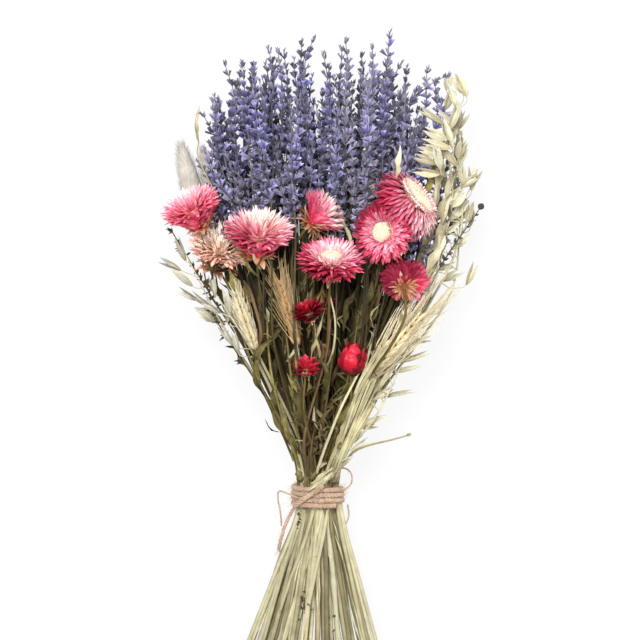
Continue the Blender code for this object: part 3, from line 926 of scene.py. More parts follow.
BROWN_STALK = DryFinish("brown_stalk", ((0, "5c4830"), (0.5, "73593c"), (1, "8a7150")), aged="473521",
    tints=(0.7, 1.2), roughness=0.7)
TWINE_FIBRE = DryFinish("twine_fibre", ((0, "cbae95"), (0.5, "d3b8a0"), (1, "c7a991")), aged="b07f58",
    aged_share=0.75, tints=(0.72, 1.2), fibre=(4.5, 0.25, 0.6), mottle=(4, 0.3), bump=0.4, roughness=0.9,
    sheen=0.3)


# ---------------------------------------------------------------- the bunch and its stems


@dataclass
class StemLine:
    """Centre line of one solid's stem, from its cut foot to the start of its head."""

    node: str
    knots: Array
    tip: Array

    @property
    def start(self) -> Array:
        """Where the head starts."""
        return self.knots[-1]

    @property
    def growing(self) -> Array:
        """The direction in which the stem reaches its head."""
        return unit(self.knots[-1] - self.knots[-2])

    def at(self, y: float) -> Array:
        """The point at a height along the bunch, or past its head the head's start."""
        return point_at(y, self.knots[:, 1], self.knots)


class Bunch:
    """What every piece needs: the frame's place, the stems' lines and the finished materials."""

    head_radius = 1.35
    ring_gap = 1.4

    def __init__(self, frame: dict) -> None:
        """Place the bunch by the tie's solid, and build the shared effects.
        """
        low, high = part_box("twine_wraps")
        self.shift = np.array((low + high) / 2) / MM - TIE_MIDDLE
        self.wrap_outside = float(high.x - low.x) / 2 / MM
        self.nodes = frame["nodes"]
        self.effects = SharedEffects()
        self.materials: dict[str, bpy.types.Material] = {}
        self.stems: dict[str, StemLine] = {}
        self.faces = 0

    def rings(self, node: str) -> list[tuple[Array, float]]:
        """Centre and radius of each ring of vertices of a solid, from its foot upwards.

        Args:
            node: The solid's name.

        Returns:
            A centre and a radius for each ring.
        """
        mesh = self.nodes[node].data
        flat = np.empty(len(mesh.vertices) * 3, np.float32)
        mesh.vertices.foreach_get("co", flat)
        points = flat.reshape(-1, 3).astype(float) / MM - self.shift
        points = np.unique(np.round(points, 2), axis=0)
        points = points[np.argsort(points[:, 1])]
        breaks = np.flatnonzero(np.diff(points[:, 1]) > self.ring_gap) + 1
        found = []
        for ring in np.split(points, breaks):
            centre = (ring.max(axis=0) + ring.min(axis=0)) / 2
            found.append((centre, np.linalg.norm(ring - centre, axis=1).mean()))
        return found

    def stem(self, node: str, head_y: float | None = None) -> StemLine:
        """Trace a solid's stem.

        Args:
            node: The solid's name.
            head_y: Where its head starts, or None for the first ring that is wider than a stem.

        Returns:
            Its centre line.
        """
        found = self.rings(node)
        if head_y is None:
            upper = [i for i, (centre, _) in enumerate(found) if centre[1] > TIE_MIDDLE[1]]
            wide = [i for i in upper if found[i][1] > self.head_radius]
            used = found[: wide[0] + 1]
        else:
            used = [ring for ring in found if ring[0][1] < head_y + 0.9]
        line = StemLine(node, np.array([centre for centre, _ in used]), found[-1][0])
        self.stems[node] = line
        return line

    def finish(self, finish: DryFinish) -> bpy.types.Material:
        """The material of a finish, built once.

        Args:
            finish: The finish.

        Returns:
            Its material.
        """
        if finish.name not in self.materials:
            self.materials[finish.name] = finish.material(self.effects)
        return self.materials[finish.name]

    def deliver(self, name: str, draft: MeshDraft, finishes: Sequence[DryFinish], slot: str,
            nodes: Sequence[str] = (), crease: float = 70.0) -> bpy.types.Object:
        """Make a draft's piece, let it ride on the body and hide the solids it stands for.

        Args:
            name: The piece's name.
            draft: Its forms.
            finishes: The finish of each of the draft's slots.
            slot: The record's material slot; not used.
            nodes: The solids that it replaces.
            crease: Edges sharper than this many degrees stay sharp.

        Returns:
            The piece.
        """
        mesh = draft.mesh(name, self.shift, math.radians(crease))
        for finish in finishes:
            mesh.materials.append(self.finish(finish))
        piece = bpy.data.objects.new(name, mesh)
        bpy.context.scene.collection.objects.link(piece)
        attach(piece, "root")
        if nodes:
            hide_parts(*nodes)
        self.faces += draft.triangles
        LOG.info("%s: %d triangles", name, draft.triangles)
        return piece


class StemKind(Enum):
    """How thick a stem is below the tie, at the tie and at its head, in millimetres."""

    LAVENDER = (1.6, 1.1, 0.62)
    FLOWER = (1.75, 1.15, 0.85)
    STRAW = (1.85, 1.2, 0.8)
    LOOSE = (1.5, 1, 0.5)
    FINE = (0.8, 0.8, 0.45)


@dataclass
class StemDresser:
    """Builds the visible stems: ridged, slightly crooked, with joints on straw."""

    seed: int = 11
    step: float = 7.0
    sides: int = 8
    ridges: float = 0.07
    sway: float = 0.35

    def __post_init__(self) -> None:
        """Set up the random draws."""
        self.draws = np.random.default_rng(self.seed)

    def dress(self, draft: MeshDraft, knots: Array, kind: StemKind, slot: int) -> Array:
        """Add a stem to a draft.

        Args:
            draft: Where it goes.
            knots: Its centre line's knots.
            kind: Its thickness.
            slot: The draft's finish slot for it.

        Returns:
            The smooth centre line.
        """
        line = smooth_line(knots, self.step)
        low, tie, head = kind.value
        fine = kind is StemKind.FINE
        y = line[:, 1]
        radii = np.interp(y, (FOOT_Y, -125, -92, -60, 120), (low, low, tie, tie, head))
        radii = radii * self.draws.uniform(0.85, 1.2)
        joints = np.zeros(len(line))
        if kind is StemKind.STRAW:
            for joint in self.draws.uniform(0, len(line) - 1, 3).astype(int):
                joints[joint] = 0.28
        phase = self.draws.uniform(0, 2 * math.pi, 2)
        reach = self.sway * np.clip((y - FOOT_Y) / 40, 0, 1) * np.clip((line[-1, 1] - y) / 40, 0, 1)
        line = line.copy()
        line[:, 0] += reach * np.sin(y / 17 + phase[0])
        line[:, 2] += reach * np.sin(y / 21 + phase[1])
        along = (y - STEM_LOW_Y) / STEM_SPAN_Y
        form = sweep(line, round_section(5) if fine else round_section(self.sides, self.ridges),
            radii * (1 + joints), radii * (1 + joints) * self.draws.uniform(0.75, 1),
            roll=np.linspace(0, self.draws.uniform(-1.5, 1.5), len(line)), along=along)
        draft.put(form, slot, self.draws.uniform(0, 1), (self.draws.uniform(0, 1) ** 2))
        return line


@dataclass
class StemField:
    """Places for loose stems between the traced ones, so that they follow the same fan."""

    stems: list[StemLine]
    levels: tuple[float, ...] = (-222, -180, -136, -99, -81, -63, -40, -12, 22, 62, 100)
    neighbours: int = 6
    tie_y: float = -90.0

    def __post_init__(self) -> None:
        """Note the lavender stems, and where each stem stands in the tie."""
        self.lavender = [stem for stem in self.stems if stem.node.startswith("lavender")]
        self.seats = np.array([stem.at(self.tie_y)[[0, 2]] for stem in self.stems])

    def pick(self, draws: Draws) -> StemLine:
        """One of the lavender stems."""
        return self.lavender[draws.integers(len(self.lavender))]

    def top_at(self, x: float, y: float, reach: float = 6.0) -> float:
        """Height of the uppermost stem near a place, or of the nearest stem beside the bunch.

        Args:
            x: Place across the bunch.
            y: Place along it.
            reach: How far to the side a stem counts as near.

        Returns:
            The height.
        """
        points = np.array([stem.at(min(y, stem.start[1])) for stem in self.stems])
        near = np.abs(points[:, 0] - x)
        close = near < max(reach, near.min() + 1)
        return points[close, 2].max()

    def on_top(self, x: float, y: float, lift: float, reach: float = 6.0) -> Array:
        """The point that lies by lift above the uppermost stem near a place."""
        return vector(x, y, self.top_at(x, y, reach) + lift)

    def free_seats(self) -> list[Array]:
        """Places of the honeycomb in the tie that no traced stem takes.

        Returns:
            The places across the tie.
        """
        middle = self.seats.mean(axis=0)
        reach = np.linalg.norm(self.seats - middle, axis=1).max()
        seats = []
        for row, column in itertools.product(range(-6, 7), range(-12, 13)):
            seat = TIE_MIDDLE[[0, 2]] + SLOT_PITCH * vector(column + row / 2, row * math.sqrt(3) / 2)
            near = np.linalg.norm(self.seats - seat, axis=1).min()
            if near > 0.7 * SLOT_PITCH and np.linalg.norm(seat - middle) < reach + 0.4:
                seats.append(seat)
        return seats

    def line(self, seat: Array, top_y: float, foot_y: float) -> Array:
        """A loose stem's knots through a seat, moved as its neighbours move.

        Args:
            seat: Its place in the tie, across and up.
            top_y: Where it ends.
            foot_y: Where it is cut.

        Returns:
            Its knots.
        """
        distance = np.linalg.norm(self.seats - seat, axis=1)
        nearest = np.argsort(distance)[: self.neighbours]
        weight = 1 / np.maximum(distance[nearest], 0.5) ** 2
        knots = []
        for y in (foot_y, *[level for level in self.levels if foot_y + 10 < level < top_y - 10], top_y):
            moved = np.array([self.stems[i].at(min(y, self.stems[i].start[1]))[[0, 2]] -
                self.seats[i] for i in nearest])
            x, z = seat + (moved * weight[:, None]).sum(axis=0) / weight.sum()
            knots.append((x, y, max(z, 1.6)))
        return np.array(knots)


@dataclass
class Dressing:
    """What the builders of the solid stems' own pieces share.

    Attributes:
        bunch: The bunch that the pieces belong to.
        dresser: What builds the visible stems.
        seed: Where their random draws start.
    """

    bunch: Bunch
    dresser: StemDresser
    seed: int = 0

    def draws(self, index: int) -> Draws:
        """The random draws of one piece."""
        return np.random.default_rng(self.seed * 100 + index)

    def begin(self, node: str, head_y: float | None, kind: StemKind) -> tuple[StemLine, MeshDraft]:
        """Trace a solid's stem, and start its piece with it.

        Args:
            node: The solid's name.
            head_y: Where its head starts, or None to find it.
            kind: How thick the stem is.

        Returns:
            The stem's line and the piece's draft.
        """
        stem, draft = self.bunch.stem(node, head_y), MeshDraft()
        self.dresser.dress(draft, stem.knots, kind, 0)
        return stem, draft


# ---------------------------------------------------------------- lavender


@dataclass
class LavenderSpike:
    """A spike of lavender: whorls of small ribbed calyces on a thin stalk.

    Attributes:
        start: Where the lowest whorl stands.
        tip: The end of the spike.
        fullness: Share of the full number of calyces.
        grey: How faded it is, from 0 to 1.
        spread: Least and greatest lean of a calyx in degrees.
        light: How bright its calyces are.
        whorl_gap: Distance between two whorls.
        stalk_radius: Radius of its stalk at the foot.
    """

    start: Array
    tip: Array
    fullness: float = 1.0
    grey: float = 0.3
    spread: Pair = (22.0, 66.0)
    light: float = 0.48
    whorl_gap: float = 5.7
    stalk_radius: float = 0.55

    def add_to(self, draft: MeshDraft, forms: "LavenderForms", draws: Draws) -> None:
        """Add the spike's stalk and calyces to a draft.

        Args:
            draft: Where it goes.
            forms: The calyces to choose from.
            draws: The random draws.
        """
        axis, sideways, _, length = axes_between(self.start, self.tip)
        crook = sideways * draws.uniform(-4, 4) + UP * draws.uniform(-1.5, 2)
        line = smooth_line([self.start, self.start + axis * length * 0.55 + crook, self.tip], 4)
        radii = np.linspace(self.stalk_radius, self.stalk_radius * 0.45, len(line))
        draft.put(sweep(line, round_section(5), radii, along=climb(line)), 0, 0.6)
        opened, buds, papers = Places(), Places(), Places()
        turn, travel = draws.uniform(0, math.pi), 0
        while travel < length - 1:
            share = travel / length
            here, ahead = point_at(np.array([share, min(share + 0.1, 1)]), shares(line), line)
            forward = unit(ahead - here) if share < 0.9 else axis
            out = unit(np.cross(forward, vector(0.3, 0.1, 0.9)))
            other = np.cross(forward, out)
            size = (1.06 - 0.28 * share) * draws.uniform(0.9, 1.12)
            count = max(4, round((8.8 - 2.4 * share) * self.fullness * draws.uniform(0.8, 1.1)))
            turn += math.pi / 2 + draws.uniform(-0.35, 0.35)
            for number in range(count):
                spread = (number // 2 - (count // 2 - 1) / 2) * 2.2 / max(count // 2, 1)
                angle = turn + number % 2 * math.pi + spread + draws.uniform(-0.22, 0.22)
                radial = around(out, other, angle)
                lean = math.radians(draws.uniform(*self.spread)) * (1 - 0.4 * share)
                direction, upper = tilted(forward, radial, lean)
                root = here + radial * 0.5 + forward * draws.uniform(-1, 1)
                scale = size * draws.uniform(0.82, 1.15)
                tint = clipped(draws.normal(self.light - 0.26 * share**2, 0.24))
                age = clipped(self.grey + draws.normal(0, 0.22) + 0.75 * share**2)
                closed = draws.uniform() < 0.15 + 0.6 * share**2
                (buds if closed else opened).add(root, direction, upper, scale, tint, age)
            radial = around(out, other, turn + draws.uniform(-0.5, 0.5))
            papers.add(here + radial * 0.4 - forward * 0.7, unit(forward * 0.55 + radial), forward, size,
                0.4, 0.8)
            travel += self.whorl_gap * (1 + 0.12 * share) * draws.uniform(0.85, 1.2)
        for number in range(4):
            lean = draws.uniform(0.1, 0.4)
            radial = around(out, other, number * GOLDEN_ANGLE)
            buds.add(line[-1] - axis * draws.uniform(0.4, 2.4), tilted(axis, radial, lean)[0], radial,
                draws.uniform(0.6, 0.85), draws.uniform(0.3, 0.8), min(1, self.grey + 0.45))
        draft.scatter_variants(forms.opened, opened, 1)
        draft.scatter_variants(forms.buds, buds, 1)
        draft.scatter_variants(forms.papers, papers, 0)


class LavenderForms:
    """The variants of a calyx, a closed bud and the papery scale under a whorl."""

    def __init__(self) -> None:
        """Shape the variants."""
        self.opened = [pod_form(4.7 * stretch, ((0, 0.3), (0.45, 0.86), (1, 0.72 * flare)), sides, 0.12,
            lean, 0.2, teeth) for stretch, flare, lean, sides, teeth in ((1, 1, 0.25, 5, 0.6),
            (1.12, 1.2, 0.1, 6, 1.1), (0.9, 0.95, 0.5, 5, 0.4), (1, 1.4, 0.35, 6, 1.3),
            (1.1, 0.95, -0.2, 5, 0.7))]
        self.buds = [pod_form(4.4 * stretch, ((0, 0.25), (0.4, 0.74), (1, 0.14)), 5, lean=lean)
            for stretch, lean in ((1, 0.2), (1.15, 0.45))]
        knots = ((0, 0.4), (0.4, 1), (0.75, 0.6), (1, 0.06))
        self.papers = [blade_form(length, 1.5, curl, 0.25, knots, 2)
            for length, curl in ((2.6, 0.5), (3.2, 0.9))]


@dataclass
class Lavender(Dressing):
    """All lavender: the thirty solid stems, and the finer loose and side shoots between them."""

    seed: int = 23
    count: int = 30
    edge: Knots = ((-84, 150), (-76, 180), (-68, 200), (-58, 204), (-44, 212), (-30, 217), (-10, 221),
        (0, 221), (8, 203), (13, 190), (18, 214), (31, 222), (46, 227), (58, 216), (66, 198), (78, 176),
        (86, 150))
    tiers: tuple[Triple, ...] = ((4, 40, 0.05), (30, 62, 0.15), (56, 74, 0.3), (82, 82, 0.45))
    columns: int = 18
    lowest_whorl: float = 102.0
    lowest_root: float = -68.0
    highest_tip: float = 86.0
    unshaded_height: float = 58.0
    column_span: Pair = (-74.0, 78.0)
    mauve_span: Pair = (16.0, 42.0)
    shade_sheet_span: Pair = (-62.0, 70.0)
    shade_sheet_count: int = 17
    fringe: Rows = ((-69, 140, 60, -79.6, 171, 62), (-60, 112, 74, -78, 146, 78),
        (-72, 116, 66, -83, 139, 68), (62, 180, 60, 87, 198, 62), (84, 168, 56, 80, 187, 58),
        (45, 198, 50, 48, 229, 52), (-11, 190, 62, -4, 223, 60), (-58, 158, 64, -64.5, 205, 66),
        (-66, 146, 60, -73.5, 181, 62), (-33, 178, 58, -35.5, 217, 60), (-26, 174, 64, -28.5, 214, 66),
        (-10, 184, 56, -12.5, 222, 58), (5, 172, 62, 2.5, 212, 64), (13, 166, 58, 15, 216, 60),
        (9, 146, 68, 9.5, 196, 70), (53, 112, 72, 60, 152, 76), (58, 128, 60, 66, 166, 64))

    def __post_init__(self) -> None:
        """Shape the calyces once."""
        self.forms = LavenderForms()

    def _deliver(self, name: str, draft: MeshDraft, *nodes: str) -> None:
        """Make a piece of lavender."""
        self.bunch.deliver(name, draft, (LAVENDER_STALK, CALYX), "lavender", nodes)

    def build(self) -> None:
        """Build one piece for each solid stem."""
        for index in range(1, self.count + 1):
            node, draws = f"lavender_{index:02d}", self.draws(index)
            stem, draft = self.begin(node, None, StemKind.LAVENDER)
            grey = self._grey(stem.tip, draws)
            self._spike(draft, stem.start, stem.tip, draws.uniform(0.85, 1.1), grey, draws)
            self._tufts(draft, stem.knots, grey, draws)
            self._deliver(f"{node}_flowering", draft, node)

    def _edge_y(self, x: float) -> float:
        """How far up the lavender reaches at a place across the bunch."""
        return np.interp(x, *zip(*self.edge))

    def _grey(self, place: Array, draws: Draws) -> float:
        """How faded a spike is: more so in the mauve part right of the middle.

        Args:
            place: The spike's tip.
            draws: The random draws.

        Returns:
            How grey it is, 0 to 1.
        """
        low, high = self.mauve_span
        zone = 0.35 if low < place[0] < high else 0.12 * (place[0] > high)
        return 0.08 + zone + 0.5 * draws.uniform() ** 2

    def _spike(self, draft: MeshDraft, start: Array, tip: Array, fullness: float, grey: float,
            draws: Draws) -> None:
        """Add one spike, lighter in the right half of the bunch and, as painted shade, darker the lower it
        lies.

        Args:
            draft: Where it goes.
            start: Its lower end.
            tip: Its tip.
            fullness: Share of the full number of calyces.
            grey: How grey it is.
            draws: The random draws.
        """
        light = 0.46 + 0.14 * (tip[0] > self.mauve_span[0]) + draws.normal(0, 0.1)
        # Painted shade: the lower a spike's tip lies in the bunch, the darker its calyces.
        light += 0.004 * (tip[2] - self.unshaded_height)
        LavenderSpike(start, tip, fullness, min(grey, 1), light=light).add_to(draft, self.forms, draws)

    def _whorl(self, draft: MeshDraft, place: Array, forward: Array, grey: float, draws: Draws) -> None:
        """Add one star-like whorl that stands alone on its stem.

        Args:
            draft: Where it goes.
            place: Its middle.
            forward: Where its stem goes on.
            grey: How grey it is.
            draws: The random draws.
        """
        light = 0.36 + 0.12 * (place[0] > self.mauve_span[0])
        alone = LavenderSpike(place, place + forward * 2, 0.7, grey + 0.1, (40, 105), light)
        alone.add_to(draft, self.forms, draws)

    def _tufts(self, draft: MeshDraft, knots: Array, grey: float, draws: Draws) -> None:
        """Add the whorls that stand apart below a spike, down to the other flowers.

        Args:
            draft: Where they go.
            knots: The stem's centre line.
            grey: How grey the spike is.
            draws: The random draws.
        """
        top = knots[-1, 1]
        y = top - draws.uniform(5, 9)
        while y > self.lowest_whorl + draws.uniform(-6, 10):
            here, below = point_at(np.array([y, y - 4]), knots[:, 1], knots)
            forward = unit(here - below + draws.normal(0, 0.5, 3))
            self._whorl(draft, here, forward, grey + 0.3 * (top - y) / 40, draws)
            y -= draws.uniform(6, 10)

    def build_loose(self, field: StemField) -> None:
        """Build the loose spikes that have a place in the tie.

        Args:
            field: The solids' stems.
        """
        draws = np.random.default_rng(self.seed)
        draft = MeshDraft()
        for seat in sorted(field.free_seats(), key=lambda place: place[0]):
            knots = field.line(seat, 100, FOOT_Y + draws.uniform(0, 9))
            x = knots[-1, 0] * 1.1 + draws.uniform(-6, 6)
            tip_y = self._edge_y(x) - draws.uniform(0, 44)
            tip = vector(x, tip_y, min(knots[-1, 2] + draws.uniform(-3, 8), self.highest_tip))
            start = tip - unit(tip - knots[-2]) * draws.uniform(38, 54)
            line = np.vstack([knots[knots[:, 1] < start[1] - 12], start])
            self.dresser.dress(draft, line, StemKind.LOOSE, 0)
            grey = self._grey(tip, draws)
            self._spike(draft, start, tip, draws.uniform(0.75, 1), grey, draws)
            self._tufts(draft, line, grey, draws)
        self._deliver("loose_lavender", draft)

    def build_shoots(self, field: StemField) -> None:
        """Build the side shoots, tier by tier, each from the lavender stem nearest to it.

        Args:
            field: The solids' stems.
        """
        draws = np.random.default_rng(self.seed + 1)
        low, high = self.column_span
        for number, (drop, height, fade) in enumerate(self.tiers):
            draft = MeshDraft()
            for column in range(self.columns):
                x = low + (column + 0.5) / self.columns * (high - low) + draws.uniform(-3.5, 3.5)
                y = self._edge_y(x) - drop - draws.uniform(0, 22)
                rise = 0.12 * number + draws.uniform(-0.1, 0.25)
                lean = unit(vector(x * 0.0026 + draws.uniform(-0.24, 0.24), 1, rise))
                tip = vector(x, y, height - 0.0016 * x * x + draws.uniform(-9, 5))
                start = tip - lean * draws.uniform(30, 44)
                self._shoot(draft, field, start, tip, self._grey(tip, draws) + fade, draws)
            self._deliver(f"lavender_shoots_{number + 1}", draft)
        draft = MeshDraft()
        for row in self.fringe:
            self._shoot(draft, field, vector(*row[:3]), vector(*row[3:]), 0.35, draws, 0.6)
        self._shade_sheets(draft)
        self._deliver("lavender_fringe", draft)

    def _shade_sheets(self, draft: MeshDraft) -> None:
        """Add dark narrow leaf-shaped sheets at the bottom of the lavender: painted shade behind the gaps
        between the spikes.

        Args:
            draft: Where they go.
        """
        for number, x in enumerate(np.linspace(*self.shade_sheet_span, self.shade_sheet_count)):
            top = self._edge_y(x) - 36 - 9 * (number % 3)
            line = smooth_line([(0.86 * x, 88, 15), (0.94 * x, 124, 13),
                (x, top, 12 + 3 * (number % 2))], 14)
            roll = 0.3 * np.sin(shares(line) * 9 + x)
            # Painted shade: the darkest calyx colour, on sheets where only shade would be.
            draft.put(ribbon(line, ((0, 0.5), (0.5, 1), (1, 0.1)), 7, 0.2, 0.05, roll), 1, 0, 0.1)

    def _shoot(self, draft: MeshDraft, field: StemField, start: Array, tip: Array, grey: float,
            draws: Draws, fullness: float = 0.85) -> None:
        """Add one side shoot with its stalk and its spike.

        Args:
            draft: Where it goes.
            field: The solids' stems.
            start: Where its spike starts.
            tip: The spike's tip.
            grey: How grey it is.
            draws: The random draws.
            fullness: Share of the full number of calyces.
        """
        root_y = max(start[1] - draws.uniform(70, 130), self.lowest_root)
        points = np.array([stem.at(root_y) for stem in field.lavender])
        goal = points + (start - points) * 0.3
        root = points[int(np.argmin(np.linalg.norm((goal - points)[:, [0, 2]], axis=1)))]
        stalk = bend_between(root, FORWARD * 1.6 + unit(start - root), start, tip - start, 6)
        line = self.dresser.dress(draft, np.vstack([root, stalk]), StemKind.FINE, 0)
        index = int(len(line) * draws.uniform(0.5, 0.85))
        if draws.uniform() < 0.8 and line[index][1] > self.lowest_whorl:
            self._whorl(draft, line[index], unit(line[index] - line[index - 1]), grey, draws)
        self._spike(draft, line[-1], tip, fullness * draws.uniform(0.8, 1.1), grey, draws)


# ---------------------------------------------------------------- strawflowers


@dataclass(frozen=True)
class BractRow:
    """One ring of bracts, in shares of the bloom's radius.

    Attributes:
        count: Bracts in the ring.
        out: Distance from the axis where they start.
        height: Height along the axis where they start.
        lean: Angle from the axis in degrees.
        length: Length of a bract.
        width: Width of a bract in millimetres.
        curl: Curl towards the axis in radians, negative for outwards.
        tone: Which colour of the rows it takes.
    """

    count: int
    out: float
    height: float
    lean: float
    length: float
    width: float
    curl: float
    tone: float


def bract_rows(*rows: Sequence[float]) -> tuple[BractRow, ...]:
    """Rings of bracts from their plain values."""
    return tuple(BractRow(*row) for row in rows)


class BloomShape(Enum):
    """How a strawflower has opened, as its rings of bracts from the innermost outwards."""

    FLAT = bract_rows((34, 0.29, 0.11, 22, 0.24, 1.5, 0.3, 0), (38, 0.31, 0.08, 50, 0.36, 1.8, 0, 0.04),
        (42, 0.33, 0.05, 60, 0.46, 2, 0, 0.16), (44, 0.35, 0.02, 68, 0.54, 2.1, 0.05, 0.34),
        (46, 0.36, -0.02, 75, 0.6, 2.3, 0.05, 0.52), (46, 0.36, -0.07, 81, 0.62, 2.4, 0.1, 0.68),
        (40, 0.35, -0.12, 85, 0.62, 2.7, 0.15, 0.8), (32, 0.32, -0.2, 82, 0.56, 3.2, 0.35, 0.92),
        (26, 0.26, -0.3, 74, 0.5, 3.8, 0.5, 1), (18, 0.19, -0.4, 66, 0.4, 4, 0.5, 1))
    BURST = bract_rows((10, 0.05, 0.18, 6, 0.3, 1.5, 0.1, 0), (18, 0.12, 0.16, 14, 0.38, 1.6, 0.1, 0),
        (28, 0.19, 0.13, 26, 0.44, 1.8, 0.05, 0), (34, 0.26, 0.1, 40, 0.52, 2, 0, 0.16),
        (40, 0.32, 0.06, 54, 0.58, 2.1, 0.05, 0.24), (44, 0.36, 0.02, 66, 0.62, 2.3, 0.1, 0.33),
        (44, 0.38, -0.04, 76, 0.62, 2.5, 0.15, 0.42), (38, 0.38, -0.1, 82, 0.6, 2.8, 0.2, 0.6),
        (32, 0.38, -0.2, 76, 0.58, 3.4, 0.35, 0.78), (28, 0.34, -0.34, 70, 0.56, 3.8, 0.45, 0.9),
        (22, 0.27, -0.48, 64, 0.52, 4.2, 0.5, 1), (16, 0.19, -0.61, 58, 0.42, 4.2, 0.5, 1))
    CUP = bract_rows((16, 0.1, 0.1, 8, 0.62, 1.7, 0.1, 0), (24, 0.18, 0.06, 20, 0.68, 1.9, 0.1, 0.04),
        (30, 0.25, 0.02, 33, 0.74, 2.1, 0.1, 0.1), (36, 0.3, -0.03, 46, 0.78, 2.3, 0.1, 0.2),
        (38, 0.33, -0.09, 58, 0.78, 2.5, 0.15, 0.36), (34, 0.33, -0.16, 66, 0.74, 2.9, 0.25, 0.56),
        (30, 0.31, -0.24, 66, 0.68, 3.6, 0.4, 0.78), (26, 0.27, -0.33, 62, 0.6, 4.2, 0.5, 0.9),
        (20, 0.21, -0.42, 58, 0.5, 4.4, 0.5, 1), (14, 0.15, -0.5, 54, 0.4, 4.4, 0.5, 1))
    DROOP = bract_rows((40, 0.58, 0.14, 36, 0.13, 1.4, 0.2, 0), (44, 0.6, 0.1, 78, 0.24, 1.6, -0.2, 0.06),
        (46, 0.61, 0.04, 98, 0.4, 1.8, -0.3, 0.18), (46, 0.6, -0.04, 110, 0.52, 2, -0.3, 0.28),
        (44, 0.58, -0.14, 118, 0.58, 2.1, -0.2, 0.36), (40, 0.53, -0.26, 124, 0.62, 2.3, -0.1, 0.46),
        (34, 0.46, -0.38, 130, 0.62, 2.5, 0, 0.58), (26, 0.36, -0.5, 134, 0.5, 3, 0.1, 0.8))
    RAGGED = bract_rows((14, 0.12, 0.06, 14, 0.5, 1.8, 0, 0.3), (18, 0.24, 0.02, 34, 0.66, 2, -0.1, 0.45),
        (20, 0.3, -0.04, 54, 0.78, 2.2, -0.2, 0.6), (20, 0.3, -0.14, 72, 0.76, 2.3, -0.1, 0.75),
        (16, 0.26, -0.26, 88, 0.62, 2.4, 0.1, 0.9), (12, 0.2, -0.36, 100, 0.44, 2.4, 0.3, 1))
    BUD = bract_rows((5, 0.16, 0.62, 4, 0.5, 4.4, 0.5, 0.05), (7, 0.52, 0.28, 14, 0.86, 5.6, 1, 0.2),
        (8, 0.74, -0.06, 14, 1, 6.4, 1.1, 0.32), (9, 0.8, -0.4, 26, 0.98, 6.6, 1.2, 0.45),
        (8, 0.66, -0.68, 48, 0.8, 6.2, 1.3, 0.6), (7, 0.42, -0.9, 66, 0.6, 5, 1.2, 0.9))
    STAR = bract_rows((7, 0.14, 0.3, 10, 0.62, 2.2, 0.3, 0), (9, 0.34, 0.12, 30, 0.88, 3, 0, 0.12),
        (10, 0.46, -0.1, 50, 0.94, 3.4, -0.1, 0.25), (10, 0.5, -0.36, 64, 0.9, 3.6, 0.1, 0.4),
        (9, 0.44, -0.64, 80, 0.66, 3.6, 0.4, 0.6))


@dataclass(frozen=True)
class Bloom:
    """One strawflower: where it is, how it faces and what it looks like."""

    name: str
    centre: Triple
    facing: Triple
    radius: float
    shape: BloomShape
    finish: DryFinish
    tone_shift: float = 0.0
    tone_span: float = 1.0
    disc: float = 0.0
    disc_height: float = 0.13
    seat_depth: float = 0.46
    # Painted shade: bracts on this side take a deeper tone, partly the bloom's own colour, and a lower
    # brightness.
    deep_and_shaded_side: Triple = (0.0, 0.0, 0.0)
    base: float = 1.0
    base_lean: float = 1.0
    base_age: float = 0.5
    swell: float = 1.0
    rough: float = 3.4
    # Painted light: lifts or lowers the brightness of all of a bloom's bracts, for how well its seen side is
    # lit.
    light: float = 0.0


